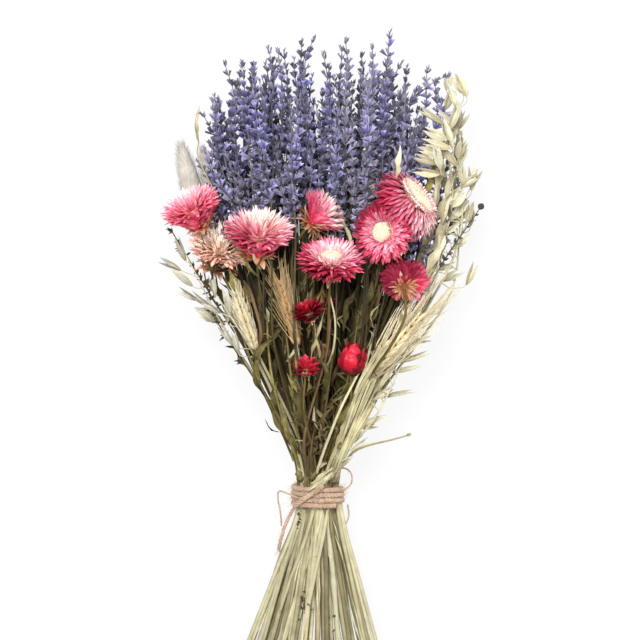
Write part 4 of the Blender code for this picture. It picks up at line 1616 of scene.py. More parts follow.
BLOOMS = (
    Bloom("left_pink", (-86, 106, 78), (-0.42, 0.83, 0.36), 22.5, BloomShape.BURST, PINK_BRACT, 0.13, 0.4,
        seat_depth=0.68, deep_and_shaded_side=(0.12, -0.26, 0), base=1.4, base_lean=0.8, light=0.46),
    Bloom("left_cream_eye", (-41, 88.5, 94), (0.04, 0.89, 0.43), 25.5, BloomShape.BURST, PINK_BRACT, 0.03,
        0.52, seat_depth=0.7, deep_and_shaded_side=(-0.14, -0.22, 0), base=1.5, base_lean=0.75, light=0.26),
    Bloom("left_faded", (-67, 80, 66), (0.2, 0.82, 0.53), 24.5, BloomShape.BURST, FADED_BRACT, -0.1, 0.9,
        seat_depth=0.68, base=1.6, base_lean=0.8),
    Bloom("middle_cup", (1, 102, 78), (0.74, 0.62, 0.02), 19, BloomShape.CUP, PINK_BRACT, 0.02, 0.62,
        seat_depth=0.54, deep_and_shaded_side=(-0.15, 0.1, 0), base=2, base_age=0.5, light=0.12),
    Bloom("middle_cream_eye", (7, 70, 100), (0.04, 0.81, 0.58), 24.5, BloomShape.FLAT, PINK_BRACT, 0.13,
        0.9, 0.32, 0.14, deep_and_shaded_side=(-0.12, -0.08, 0), light=0.1),
    Bloom("right_facing", (42, 89, 104), (-0.42, 0.1, 0.9), 23, BloomShape.FLAT, PINK_BRACT, 0.27, 1.38,
        0.3, deep_and_shaded_side=(-0.28, 0.28, 0), light=-0.06),
    Bloom("right_side", (62.5, 112, 99), (0.72, 0.58, 0.36), 23.5, BloomShape.DROOP, PINK_BRACT, 0.12, 0.86,
        0.58, 0.16, deep_and_shaded_side=(-0.14, 0.2, 0), swell=0.4, light=-0.08),
    Bloom("right_turned_away", (56, 57, 98), (0.1, 0.62, -0.78), 19, BloomShape.FLAT, PINK_BRACT, 0.52,
        0.55, 0.2, seat_depth=0.46, deep_and_shaded_side=(-0.3, 0.4, 0), base=1.25, base_age=1.2, rough=12),
    Bloom("dark_left", (-8, 37, 86), (-0.35, 0.9, 0.35), 12, BloomShape.RAGGED, CRIMSON_BRACT, 0.1, 0.9,
        seat_depth=0.54),
    Bloom("dark_right", (3.5, 42, 66), (0.3, 0.9, 0.1), 10.5, BloomShape.RAGGED, CRIMSON_BRACT, 0.2, 0.9,
        seat_depth=0.54),
    Bloom("small_bud", (-9.5, 0, 88), (0.05, 0.98, 0.2), 8, BloomShape.STAR, CRIMSON_BRACT, -0.05, 0.9,
        seat_depth=0.78),
    Bloom("round_bud", (21.8, 5, 80), (0.12, 0.97, 0.25), 10.5, BloomShape.BUD, CRIMSON_BRACT, 0, 0.9,
        seat_depth=0.78),
)


@dataclass
class Strawflowers(Dressing):
    """The twelve strawflowers with their stems."""

    seed: int = 41
    neck_length: float = 26.0
    neck_points: int = 5
    slender: float = 0.8
    fullness: float = 1.18
    scale_tone: float = 0.7
    most_florets: int = 420
    variants: Rows = ((-0.3, 0.22, 0.3, 1), (0, 0.3, -0.25, 0.94),
        (0.3, 0.16, 0.1, 1.04), (0.55, 0.26, -0.1, 0.98))
    base_rows: Rows = ((16, 0.04, 108, 0.3), (16, 0.12, 92, 0.32),
        (12, 0.02, 132, 0.2))
    solid_depth: ClassVar[dict[BloomShape, float]] = {BloomShape.CUP: 0.52, BloomShape.RAGGED: 0.52,
        BloomShape.BUD: 0.74, BloomShape.STAR: 0.74}

    def build(self) -> None:
        """Build one piece for each flower: its stem, its neck and its bloom."""
        for index, bloom in enumerate(BLOOMS):
            node, draws = f"strawflower_{bloom.name}", self.draws(index)
            facing = unit(vector(*bloom.facing))
            depth = self.solid_depth.get(bloom.shape, 0.42)
            base = vector(*bloom.centre) - facing * bloom.radius * (depth - 0.04)
            turn = unit(facing + FORWARD)
            stem = self.bunch.stem(node, (base - turn * self.neck_length)[1])
            neck = bend_between(stem.start, stem.growing, base, facing, self.neck_points)
            draft = MeshDraft()
            self.dresser.dress(draft, np.vstack([stem.knots, neck]), StemKind.FLOWER, 0)
            side = unit(np.cross(UP if abs(facing[2]) < 0.9 else FORWARD, facing))
            axes = (facing, side, np.cross(facing, side))
            self._bracts(draft, bloom, axes, draws)
            self._receptacle(draft, bloom, axes, draws)
            if bloom.disc:
                self._disc(draft, bloom, axes, draws)
            finishes = (FLOWER_STALK, bloom.finish, BASE_BRACT, DISC)
            slot = "strawflower_" + bloom.finish.name.removesuffix("_bract")
            self.bunch.deliver(f"{node}_bloom", draft, finishes, slot, (node,), crease=62)

    def _bracts(self, draft: MeshDraft, bloom: Bloom, axes: Axes, draws: Draws) -> None:
        """Add the rings of bracts.

        Args:
            draft: Where they go.
            bloom: The bloom.
            axes: Where it faces, and two directions across that.
            draws: The random draws.
        """
        facing, side, other = axes
        scale_like = ((0, 0.5), (0.3, 0.9), (0.6, 1), (0.85, 0.62), (1, 0.05))
        strap_like = ((0, 0.6), (0.35, 0.9), (0.75, 1), (0.92, 0.7), (1, 0.08))
        closed = bloom.shape is BloomShape.BUD
        dark = vector(*bloom.deep_and_shaded_side)
        spare = 1.5 if closed else bloom.rough
        for row in bloom.shape.value:
            broad = closed or row.tone > self.scale_tone
            slender = 1 if broad else self.slender
            width = row.width * slender * self.fullness
            knots = scale_like if broad else strap_like
            segments, late, section = (9, 1, leaf_section) if closed else (5, 1.4, bract_section)
            forms = [blade_form(row.length * bloom.radius * stretch, width, row.curl + bend, cup, knots,
                segments, late, 0.05, 0 if closed else twist, section)
                for bend, cup, twist, stretch in self.variants]
            places = Places()
            offset = draws.uniform(0, 2 * math.pi)
            count = round(row.count / slender)
            for number in range(count):
                angle = offset + (number + draws.uniform(-0.35, 0.35)) / count * 2 * math.pi
                radial = around(side, other, angle)
                lean = math.radians(row.lean + draws.uniform(-spare, spare))
                lift = row.height + draws.uniform(-0.02, 0.02)
                origin = vector(*bloom.centre) + bloom.radius * (radial * row.out + facing * lift)
                # Painted shade on the bloom's shaded side: a deeper tone, partly its own colour, and less
                # brightness.
                shade = radial @ dark
                tone = bloom.tone_shift + bloom.tone_span * row.tone + draws.normal(0, 0.08)
                size = draws.uniform(1 - 0.03 * bloom.rough, 1.05)
                # The brightness, carried as age, is a random tone plus the bloom's painted light.
                shine = draws.uniform(0, 1) * (0.5 if bloom.finish is PINK_BRACT else 1)
                scale = vector(draws.uniform(0.8, 1.15), size, size)
                places.add(origin, *tilted(facing, radial, lean), scale,
                    clipped(tone + shade * min(1, row.tone * 4)), max(shine + bloom.light - 0.9 * shade, 0))
            draft.scatter_variants(forms, places, 1)

    def _receptacle(self, draft: MeshDraft, bloom: Bloom, axes: Axes, draws: Draws) -> None:
        """Add the solid base under the bracts and its small tan bracts.

        Args:
            draft: Where it goes.
            bloom: The bloom.
            axes: Where it faces, and two directions across that.
            draws: The random draws.
        """
        facing, side, other = axes
        radius = bloom.radius
        bottom = vector(*bloom.centre) - facing * radius * bloom.seat_depth
        if bloom.shape is BloomShape.BUD:
            knots = ((0, 0.2), (0.2, 0.62), (0.5, 0.8), (0.8, 0.66), (1, 0.2))
            height, slot, tint = 1.5, 1, 0.9
        else:
            knots = ((0, 0.09), (0.3, 0.2), (0.7, 0.27), (1, 0.2))
            height, slot, tint = bloom.seat_depth + 0.06, 2, 0.35
        body = pod_form(height * radius, [(at, size * radius) for at, size in knots], sides=10)
        draft.place(body, slot, bottom, facing, other, tint, 0.3)
        shape = ((0, 0.7), (0.4, 1), (0.75, 0.65), (1, 0.06))
        width = 0.1 * radius + (0.5 if bloom.base_lean == 1 else 1.8)
        flatter = 0.7 if bloom.shape in (BloomShape.BUD, BloomShape.STAR) else 1
        for count, height, lean, length in self.base_rows:
            forms = [blade_form(length * radius * bloom.base, width, curl, 0.25, shape, 4)
                for curl in (0.5, -0.3, 1)]
            places = Places()
            for number in range(count):
                radial = around(side, other, (number + draws.uniform(-0.3, 0.3)) / count * 2 * math.pi)
                tilt = math.radians(lean * bloom.base_lean * flatter + draws.uniform(-14, 14))
                origin = bottom + radius * (facing * height + radial * (0.08 + height * 0.6))
                places.add(origin, *tilted(facing, radial, tilt), draws.uniform(0.8, 1.25),
                    draws.uniform(0, 1) * (1.3 - bloom.base_age) / 0.8,
                    min(2 * bloom.base_age * draws.uniform(0, 1), 1))
            draft.scatter_variants(forms, places, 2)

    def _disc(self, draft: MeshDraft, bloom: Bloom, axes: Axes, draws: Draws) -> None:
        """Add the cream disc: a dome of close-packed florets.

        Args:
            draft: Where it goes.
            bloom: The bloom.
            axes: Where it faces, and two directions across that.
            draws: The random draws.
        """
        facing, side, other = axes
        radius = bloom.radius * bloom.disc
        floor = vector(*bloom.centre) + facing * bloom.radius * (bloom.disc_height - 0.12)
        knots = [(at, radius * size) for at, size in ((0, 0.9), (0.45, 0.86), (0.8, 0.6), (1, 0.2))]
        dome = pod_form(radius * 0.75 * bloom.swell, knots, sides=12)
        draft.place(dome, 3, floor, facing, other, 0.3, 0.6)
        floret = pod_form(1.7, ((0, 0.42), (0.5, 0.5), (0.85, 0.42), (1, 0.2)), sides=5)
        count = min(int(4.6 * (radius / 0.9) ** 2), self.most_florets)
        wide = max(1, radius / math.sqrt(count) * 2.4)
        places = Places()
        for number in range(count):
            share = math.sqrt((number + 0.5) / count)
            radial = around(side, other, number * GOLDEN_ANGLE)
            rise = radius * 0.42 * bloom.swell * (1 - share**2) + 0.04 * bloom.radius
            direction = unit(facing + radial * 0.7 * share + draws.normal(0, 0.08, 3))
            worn = 0.8 * (1 - share) ** 2 + draws.uniform(-0.2, 0.3)
            places.add(floor + radial * radius * share + facing * rise, direction, radial,
                vector(wide, wide, 1) * draws.uniform(0.8, 1.15), draws.uniform(0, 1), clipped(worn))
        draft.scatter(floret, places, 3)


# ---------------------------------------------------------------- oats, wheat, plumes


@dataclass(frozen=True)
class Spikelet:
    """One hanging oat spikelet: where its stalk ends, its tip, its height and its age."""

    base_x: float
    base_y: float
    tip_x: float
    tip_y: float
    z: float
    age: float = 0.2


@dataclass(frozen=True)
class Panicle:
    """One oat: its rachis and spikelets, how many more hang behind and how plump they are."""

    name: str
    start: Triple
    tip: Triple
    spikelets: Rows
    hidden: int = 0
    plump: float = 1.0
    greyed: bool = False


PANICLES = (
    Panicle("right_tall", (84, 60, 66), (92, 184, 70), ((95.5, 166, 86.4, 191, 72, 0.35),
        (95, 155, 79.6, 173, 78, 0.1), (96.5, 140, 93.5, 160, 68, 0.15), (95, 121, 108, 129, 72, 0.3),
        (89, 107.4, 98.6, 119, 76, 0.25), (85, 113, 89.8, 132, 70, 0.2), (81.6, 96, 86.4, 115, 78, 0.5),
        (88.4, 99.3, 101.3, 112, 68, 0.2), (79, 82, 85.7, 99, 72, 0.4),
        (92, 136, 99, 152, 64, 0.3)), 12, 1.3),
    Panicle("right_arching", (86, 92, 62), (80, 170, 96), ((82.3, 161, 63.9, 174, 92, 0.05),
        (88.4, 145.5, 81.6, 167, 90, 0.1), (84.3, 151, 68.4, 157.5, 94, 0.45),
        (86.4, 145, 67.3, 150.5, 92, 0.5), (80, 140.5, 64.8, 145.5, 90, 0.6), (77, 135, 61.9, 140, 88, 0.6),
        (79.6, 131, 76.8, 147, 96, 0.1), (91, 134, 80.2, 147.5, 86, 0.6),
        (80, 129, 62.5, 130.5, 84, 0.3)), 10, 1.35),
    Panicle("right_outer", (82, 36, 50), (98, 112, 56), ((87.7, 91.8, 98.6, 105, 60, 0.25),
        (89.8, 78.9, 102.5, 89, 64, 0.1), (76.5, 88, 88.5, 97, 72, 0.4), (74.8, 66, 93.5, 68.5, 60, 0.05),
        (76.2, 70.7, 86, 84.5, 66, 0.25), (84, 58, 98, 66, 54, 0.1), (92, 98, 104, 108, 52, 0.2)), 10, 1.15),
    Panicle("right_low", (28, -46, 70), (62, 14, 66), ((52.4, 2.7, 75.5, 9.5, 68, 0.35),
        (48.3, -4.1, 69.4, 0.7, 66, 0.3), (43.5, -21.1, 63.9, -15.6, 68, 0.2),
        (35.4, -23.1, 52.4, -12.6, 70, 0.35), (28.6, -38.1, 46.9, -33.5, 70, 0.1),
        (28, -42, 39.5, -38.5, 66, 0.1), (21, -57, 34, -49.6, 68, 0), (40.1, -14.3, 54.5, 7.5, 72, 0.5),
        (60.5, 15, 76, 20.2, 68, 0.2))),
    Panicle("left_low", (-58, 14, 62), (-92, 76, 50), ((-95.2, 65.3, -110.5, 73.4, 52, 0.3),
        (-87, 54.4, -101.5, 66.6, 56, 0.3), (-83, 44.9, -98.5, 52.4, 56, 0.15),
        (-74.8, 39.8, -88, 50.3, 60, 0.3), (-72, 30, -84.5, 40, 60, 0.45),
        (-92, 72, -99, 88, 48, 0.2)), greyed=True),
    Panicle("left_inner", (-42, 4, 84), (-74, 56, 88), ((-57.8, 14.3, -66.6, 28, 86, 0.35),
        (-54.4, 9.5, -57.5, 24, 88, 0.2), (-66, 36, -80, 44, 88, 0.4), (-70, 46, -72, 62, 88, 0.3),
        (-62, 30, -62, 48, 84, 0.3)), greyed=True),
)


@dataclass
class Oats(Dressing):
    """The oats: thin arching stalks with pointed papery spikelets."""

    seed: int = 57
    glume_length: float = 18.5
    glume_width: float = 5.2

    def build(self) -> None:
        """Build one piece for each oat: a rachis, the fine stalks and the spikelets."""
        for index, panicle in enumerate(PANICLES):
            node, draws = f"oat_{panicle.name}", self.draws(index)
            stem, draft = self.begin(node, panicle.start[1], StemKind.STRAW)
            tip = vector(*panicle.tip)
            rachis = bend_between(stem.start, stem.growing, tip, tip - stem.start, 10)
            upper = np.vstack([stem.start - stem.growing * 2, stem.start, rachis])
            radii, along = np.linspace((0.85, 0.6), (0.35, 1), len(upper)).T
            draft.put(sweep(upper, round_section(6), radii, along=along), 0, 0.6, 0.2)
            opened, inner, hidden = Places(), Places(), []
            for _ in range(panicle.hidden):
                near = rachis[draws.integers(2, len(rachis))] + draws.normal(0, 1, 3) * (5, 4, 2)
                aim = vector(draws.uniform(-8, 11), draws.uniform(12, 18))
                hidden.append((*near[:2], *(near[:2] + aim), near[2] - draws.uniform(0, 14),
                    draws.uniform(0.1, 0.6)))
            for values in (*panicle.spikelets, *hidden):
                self._spikelet(draft, Spikelet(*values), upper, opened, inner, draws)
            shape = ((0, 0.25), (0.18, 0.8), (0.4, 1), (0.68, 0.78), (0.88, 0.34), (1, 0.03))
            glumes = [blade_form(self.glume_length, self.glume_width * panicle.plump, curl, cup, shape, 8,
                0.8, 0.04) for curl, cup in ((0.3, 0.34), (0.42, 0.28), (0.22, 0.4))]
            floret = pod_form(self.glume_length * 0.72, ((0, 0.3), (0.2, 1.1), (0.5, 1.25), (0.8, 0.6),
                (1, 0.1)), ridges=0.15)
            draft.scatter_variants(glumes, opened, 1)
            draft.scatter(floret, inner, 1)
            glume = GREY_GLUME if panicle.greyed else OAT_GLUME
            self.bunch.deliver(f"{node}_panicle", draft, (STRAW_STALK, glume), "oat_straw", (node,))

    def _spikelet(self, draft: MeshDraft, entry: Spikelet, rachis: Array, opened: Places, inner: Places,
            draws: Draws) -> None:
        """Add one spikelet with its stalk.

        Args:
            draft: Where the stalk goes.
            entry: The spikelet.
            rachis: The panicle's middle line.
            opened: Takes the outer glumes' places.
            inner: Takes the floret's place.
            draws: The random draws.
        """
        base = vector(entry.base_x, entry.base_y, entry.z)
        point = vector(entry.tip_x, entry.tip_y, entry.z + draws.uniform(-2, 3))
        direction, side, _, length = axes_between(base, point)
        reach = length / self.glume_length
        behind = rachis[rachis[:, 1] < base[1] - 3]
        pool = behind if len(behind) else rachis[:1]
        root = pool[np.argmin(np.linalg.norm(pool - base, axis=1))]
        stalk = np.vstack([root, bend_between(root, FORWARD + (base - root) * 0.02, base, direction, 6)])
        radii, along = np.linspace((0.42, 0.8), (0.3, 0.8), len(stalk)).T
        draft.put(sweep(stalk, round_section(5), radii, along=along), 0, 0.6, entry.age)
        for hand in (-1, 1):
            facing = side * hand + UP * draws.uniform(-0.25, 0.5)
            opened.add(base, unit(direction + side * hand * 0.1), -facing,
                vector(1, 1, reach * draws.uniform(0.92, 1.05)), draws.uniform(0.2, 0.9),
                clipped(entry.age + draws.normal(0, 0.12)))
        inner.add(base + direction, direction, UP, vector(1, 0.8, reach), draws.uniform(0.3, 0.9),
            clipped(entry.age + 0.2))


@dataclass(frozen=True)
class Ear:
    """One bearded ear: where it starts and ends, its awns and how golden it is."""

    name: str
    start: Triple
    tip: Triple
    awn_length: float
    gold: float
    spread: float
    plump: float = 1.0
    awns: int = 1
    light: float = 1.0


EARS = (Ear("right", (35, 1, 82), (68, 36, 84), 42, 0.05, 0.17, 1.35, awns=3),
    Ear("golden", (-15, 14, 74), (-27, 58, 80), 26, 0.85, 0.3), Ear("left_pale", (-43, 12, 94),
    (-56, 50, 100), 9, 0, 0.25, 1.15, light=0.15))


@dataclass
class Wheat(Dressing):
    """The bearded ears: overlapping pointed grains in rows, and long stiff awns."""

    seed: int = 71
    rows: int = 11
    grain_length: float = 9.5

    def build(self) -> None:
        """Build one piece for each ear."""
        for index, ear in enumerate(EARS):
            node = f"wheat_{ear.name}"
            stem, draft = self.begin(node, ear.start[1], StemKind.STRAW)
            tip = vector(*ear.tip)
            core = np.vstack([stem.start - stem.growing, stem.start, tip])
            draft.put(sweep(core, round_section(6), np.array([0.8, 0.9, 0.4]),
                along=np.array([0.6, 0.7, 0.9])), 0, 0.5, ear.gold)
            self._grains(draft, ear, stem.start, tip, self.draws(index))
            finishes = (STRAW_STALK, WHEAT_GRAIN, AWN)
            self.bunch.deliver(f"{node}_ear", draft, finishes, "wheat_straw", (node,))

    def _grains(self, draft: MeshDraft, ear: Ear, start: Array, tip: Array, draws: Draws) -> None:
        """Add the grains and their awns.

        Args:
            draft: Where they go.
            ear: The ear.
            start: Its lower end.
            tip: Its tip.
            draws: The random draws.
        """
        forward, side, upper, length = axes_between(start, tip)
        grain = pod_form(self.grain_length, ((0, 0.5), (0.15, 1.25), (0.4, 1.55), (0.7, 1.05), (0.9, 0.4),
            (1, 0.12)), 8, 0.12, 0.22)
        grains = Places()
        spots = ((1, 0), (-1, 0), (0.55, 0.85), (-0.55, 0.85), (0.5, -0.85), (-0.5, -0.85))
        for row, (hand, lift) in itertools.product(range(self.rows), spots):
            share = row / self.rows
            swell = (1 - 0.35 * abs(2 * share - 0.7)) * ear.plump
            out = unit(side * hand + upper * lift)
            direction = unit(forward + out * (0.42 * draws.uniform(0.8, 1.2)))
            here = start + forward * length * share
            root = here + out * 1.3 * swell + forward * draws.uniform(-0.8, 0.8)
            size = swell * draws.uniform(0.88, 1.1)
            age = clipped(ear.gold + draws.normal(0, 0.12))
            grains.add(root, direction, -out, size, draws.uniform(0.2, 1) * ear.light, age)
            for _ in range(ear.awns):
                reach = ear.awn_length * (1.1 - 0.35 * share) * draws.uniform(0.75, 1.1)
                sprout = root + direction * self.grain_length * size * draws.uniform(0.7, 0.95)
                aim = unit(forward + side * hand * ear.spread * draws.uniform(0.2, 1.3) + upper * lift *
                    ear.spread * draws.uniform(0.2, 0.9))
                middle = sprout + unit(direction + aim) * reach * 0.4
                line = smooth_line([sprout, middle, middle + aim * reach * 0.6], reach / 3.5)
                draft.put(sweep(line, round_section(4), np.linspace(0.3, 0.1, len(line))), 2,
                    draws.uniform(0.2, 1) * ear.light, age)
        draft.scatter(grain, grains, 1)


@dataclass(frozen=True)
class Tail:
    """One bunny tail: its plume's start, tip and radius."""

    name: str
    start: Triple
    tip: Triple
    radius: float


TAILS = (Tail("outer", (-86, 122, 36), (-96, 152, 38), 9.5), Tail("inner", (-74, 124, 28), (-82, 150, 22),
    6))


@dataclass
class BunnyTails(Dressing):
    """Soft oval plumes: a core covered with fine pointed hairs."""

    seed: int = 83
    hairs: int = 1000

    def build(self) -> None:
        """Build one piece for each plume."""
        for index, tail in enumerate(TAILS):
            node, draws = f"bunny_tail_{tail.name}", self.draws(index)
            stem, draft = self.begin(node, tail.start[1], StemKind.LAVENDER)
            forward, side, upper, length = axes_between(stem.start, vector(*tail.tip))
            knots = [(at, size * tail.radius) for at, size in ((0, 0.15), (0.12, 0.62), (0.35, 0.78),
                (0.65, 0.66), (0.9, 0.34), (1, 0.08))]
            draft.place(pod_form(length, knots, sides=12), 1, stem.start, forward, upper, 0.5, 0.3)
            hair = blade_form(6.4, 0.4, -0.2, 0.1, ((0, 1), (0.5, 0.7), (1, 0.08)), 2, body=0.2)
            places = Places()
            for number in range(self.hairs):
                share = (number + 0.5) / self.hairs
                out = around(side, upper, number * GOLDEN_ANGLE)
                foot = forward * length * share + out * outline(share, knots) * 0.85
                places.add(stem.start + foot, unit(forward + out * draws.uniform(0.2, 0.85)), out,
                    draws.uniform(0.7, 1.15), draws.uniform(0, 1), draws.uniform(0, 0.6))
            draft.scatter(hair, places, 1)
            self.bunch.deliver(f"{node}_plume", draft, (LAVENDER_STALK, PLUME), "plume", (node,))


@dataclass
class DarkSprig(Dressing):
    """A thin dark sprig with a bud at each joint and a round one at its end."""

    seed: int = 97
    start: Triple = (76.0, 58.0, 74.0)
    tip: Triple = (107.0, 106.0, 78.0)

    def build(self) -> None:
        """Build the sprig."""
        draws = np.random.default_rng(self.seed)
        stem, draft = self.begin("dark_sprig", self.start[1], StemKind.LAVENDER)
        tip = vector(*self.tip)
        bend = bend_between(stem.start, stem.growing, tip, tip - stem.start, 12)
        shoot = np.vstack([stem.start - stem.growing, stem.start, bend])
        radii, along = np.linspace((0.62, 0.5), (0.3, 0.5), len(shoot)).T
        draft.put(sweep(shoot, round_section(6), radii, along=along), 1, 0.5, 0.4)
        pod = pod_form(4, ((0, 0.3), (0.3, 1), (0.6, 1.05), (0.9, 0.6), (1, 0.2)), ridges=0.15, mouth=0.1)
        thorn = blade_form(5, 1.1, 0.4, 0.3, ((0, 0.6), (0.4, 1), (1, 0.06)), 3)
        pods, thorns = Places(), Places()
        for here, forward, hand in ((shoot[index], unit(shoot[index] - shoot[index - 1]), hand)
                for index in range(3, len(shoot) - 1) for hand in (-1, 1)):
            out = unit(np.cross(forward, UP)) * hand + UP * draws.uniform(-0.4, 0.7)
            direction = unit(forward + out * draws.uniform(0.4, 0.9))
            (pods if draws.uniform() < 0.55 else thorns).add(here, direction, out,
                draws.uniform(0.6, 1.1), draws.uniform(0, 1), draws.uniform(0, 0.6))
        draft.scatter(pod, pods, 1)
        draft.scatter(thorn, thorns, 1)
        globe = pod_form(4.6, ((0, 0.5), (0.2, 1.7), (0.5, 2.3), (0.8, 1.7), (1, 0.5)), 8, 0.1)
        ahead = unit(tip - shoot[-2])
        draft.place(globe, 1, tip - ahead * 0.5, ahead, UP, 0.3, 0.1)
        self.bunch.deliver("dark_sprig_buds", draft, (LAVENDER_STALK, DARK_BUD), "dark_sprig",
            ("dark_sprig",))


@dataclass
class BareTwig(Dressing):
    """The bare twig that leaves the bunch just above the tie."""

    start: Triple = (19.0, -62.0, 64.0)
    tip: Triple = (60.0, -46.0, 72.0)

    def build(self) -> None:
        """Build the twig with its small knob."""
        stem, draft = self.bunch.stem("bare_twig", self.start[1]), MeshDraft()
        tip = vector(*self.tip)
        low = self.dresser.dress(draft, stem.knots, StemKind.LOOSE, 0)
        bend = bend_between(stem.start, stem.growing, tip, tip - stem.start, 8)
        rest = np.vstack([low[-1], bend])
        draft.put(sweep(rest, round_section(6, 0.06), np.linspace(0.95, 0.6, len(rest))), 1, 0.5, 0.2)
        knob = pod_form(3.2, ((0, 0.6), (0.35, 1.15), (0.75, 1), (1, 0.4)), ridges=0.15)
        ahead = unit(tip - bend[-2])
        draft.place(knob, 1, tip - ahead * 1.6, ahead, UP, 0.6, 0.1)
        self.bunch.deliver("bare_twig_bark", draft, (LAVENDER_STALK, TWIG_BARK), "twig", ("bare_twig",))


# ---------------------------------------------------------------- leaves and loose straw


class LeafKind(Enum):
    """Which finish a loose leaf or stalk takes."""

    DRY = 0
    PALE = 1
    BROWN = 2
    STRAW = 3


DRY, PALE, BROWN, STRAW = LeafKind


@dataclass(frozen=True)
class Leaf:
    """A dried leaf, seen from above.

    Attributes:
        route: Its middle line from foot to tip, across and along the bunch.
        lift: Height above the stems under it.
        width: Its greatest width.
        kind: Its finish.
        twist: Turn from foot to tip in radians.
        cup: How far its edges stand up, as a share of its width.
        tint: How bright it is.
        age: How brown it is.
    """

    route: tuple[Pair, ...]
    lift: float
    width: float
    kind: LeafKind = DRY
    twist: float = 0.6
    cup: float = 0.3
    tint: float = 0.5
    age: float = 0.3


LEAVES = tuple(Leaf(*row) for row in ((((-51, 38), (-57, 55), (-62, 67)), 6, 8, DRY, 0.5, 0.35, 0.75, 0.1),
    (((-52, 22), (-60, 38), (-66, 53)), 5, 7, PALE, 0.4, 0.3, 0.7, 0.1),
    (((-50, 20), (-47, 40), (-52, 58)), 3, 6, DRY, -0.6, 0.3, 0.6, 0.2),
    (((-62, 44), (-70, 52), (-79, 59)), 4, 7, DRY, 1, 0.4, 0.4, 0.8),
    (((-57, 57), (-63, 66), (-71, 66), (-73, 58)), 5, 5, DRY, 1.6, 0.5, 0.05, 1),
    (((-56, 50), (-62, 52), (-68, 57)), 7, 4, DRY, 1.2, 0.5, 0.05, 1),
    (((-66, 28), (-76, 36), (-87, 40)), 3, 6, PALE, 0.8, 0.3, 0.8, 0),
    (((-68, 30), (-78, 32), (-85, 34)), 5, 4, PALE, 0.5, 0.3, 0.8, 0.1),
    (((-50, 0), (-56, 8), (-58, 15)), 4, 6, PALE, 0.8, 0.3, 0.7, 0.3),
    (((-44, -8), (-40, 12), (-28, 24), (-22, 30)), 6, 5, DRY, 1.2, 0.5, 0.55, 0.35),
    (((-36, -22), (-43, -6), (-42, 10), (-32, 16)), 5, 5.5, DRY, 1.4, 0.5, 0.7, 0.2),
    (((-40, -6), (-36, 12), (-26, 28)), 2, 5, DRY, -1, 0.5, 0.3, 0.6),
    (((-18, -58), (-30, -36), (-40, -16)), 4, 5.5, DRY, 0.9, 0.4, 0.65, 0.25),
    (((-14, -62), (-22, -44), (-27, -22)), 4, 5, DRY, -0.8, 0.4, 0.7, 0.2),
    (((-26, -34), (-31, -20), (-30, -2)), 5, 5, DRY, 1.1, 0.5, 0.45, 0.5),
    (((-28, -46), (-35, -43), (-38, -36)), 2, 1.4, DRY, 2, 0.5, 0, 1),
    (((-12, -44), (-14, -24), (-20, -6)), 3, 6, DRY, 1.3, 0.5, 0.35, 0.6),
    (((-6, 4), (-3, 20), (3, 38)), 5, 3, PALE, 2.6, 0.5, 0.2, 0.8),
    (((2, 0), (-1, 14), (-4, 32)), 4, 2.6, PALE, -2.4, 0.5, 0.25, 0.8),
    (((1, -26), (5, -10), (0, 6)), 4, 5.5, DRY, 1.2, 0.5, 0.5, 0.4),
    (((10, -30), (12, -14), (18, 0)), 3, 5, DRY, 0.9, 0.5, 0.25, 0.7),
    (((12, -48), (16, -30), (24, -16)), 3, 5.5, DRY, 1, 0.4, 0.55, 0.3),
    (((20, 20), (30, 32), (42, 38)), 3, 6, DRY, 1, 0.4, 0.3, 0.6),
    (((24, 34), (33, 45), (36, 58)), 2, 6, DRY, -1, 0.4, 0.35, 0.5),
    (((16, 24), (18, 42), (26, 56)), 2, 5, DRY, 1.2, 0.5, 0.2, 0.7),
    (((52, 30), (62, 48), (76, 62)), 3, 6, PALE, 0.7, 0.35, 0.6, 0.1),
    (((70, 60), (78, 76), (84, 96)), 4, 7.5, PALE, 0.5, 0.35, 0.8, 0),
    (((72, 76), (84, 90), (97, 99)), 3, 6, PALE, 0.7, 0.35, 0.7, 0.1),
    (((76, 96), (86, 112), (98, 124)), 2, 6.5, PALE, 0.4, 0.35, 0.8, 0.1),
    (((-84, 154), (-85.5, 166), (-83, 180)), 4, 3.2, PALE, 0.3, 0.3, 0.6, 0.5),
    (((30, 104), (33, 116), (35, 128)), 5, 6, PALE, 0.3, 0.4, 0.55, 0.7),
    (((50, 124), (51, 134), (52, 145)), 4, 4.5, PALE, 0.3, 0.4, 0.95, 0.1),
    (((64, 60), (73, 90), (79, 126)), 1, 6, PALE, 0.6, 0.35, 0.3, 0.4),
    (((72, 56), (81, 88), (87, 120)), 1, 6, PALE, -0.6, 0.35, 0.45, 0.2),
    (((74, 98), (80, 126), (82, 154)), 1, 6, PALE, 0.6, 0.35, 0.35, 0.4),
    (((66, 96), (73, 120), (78, 146)), 0, 6, DRY, 0.6, 0.35, 0.7, 0)))


@dataclass(frozen=True)
class Straw:
    """A loose stalk on top of the bunch: where it passes, how wide it is and its kind."""

    route: tuple[Pair, ...]
    lift: float
    radius: float
    kind: LeafKind = STRAW
    tint: float = 0.6
    age: float = 0.1
    buds: int = 0


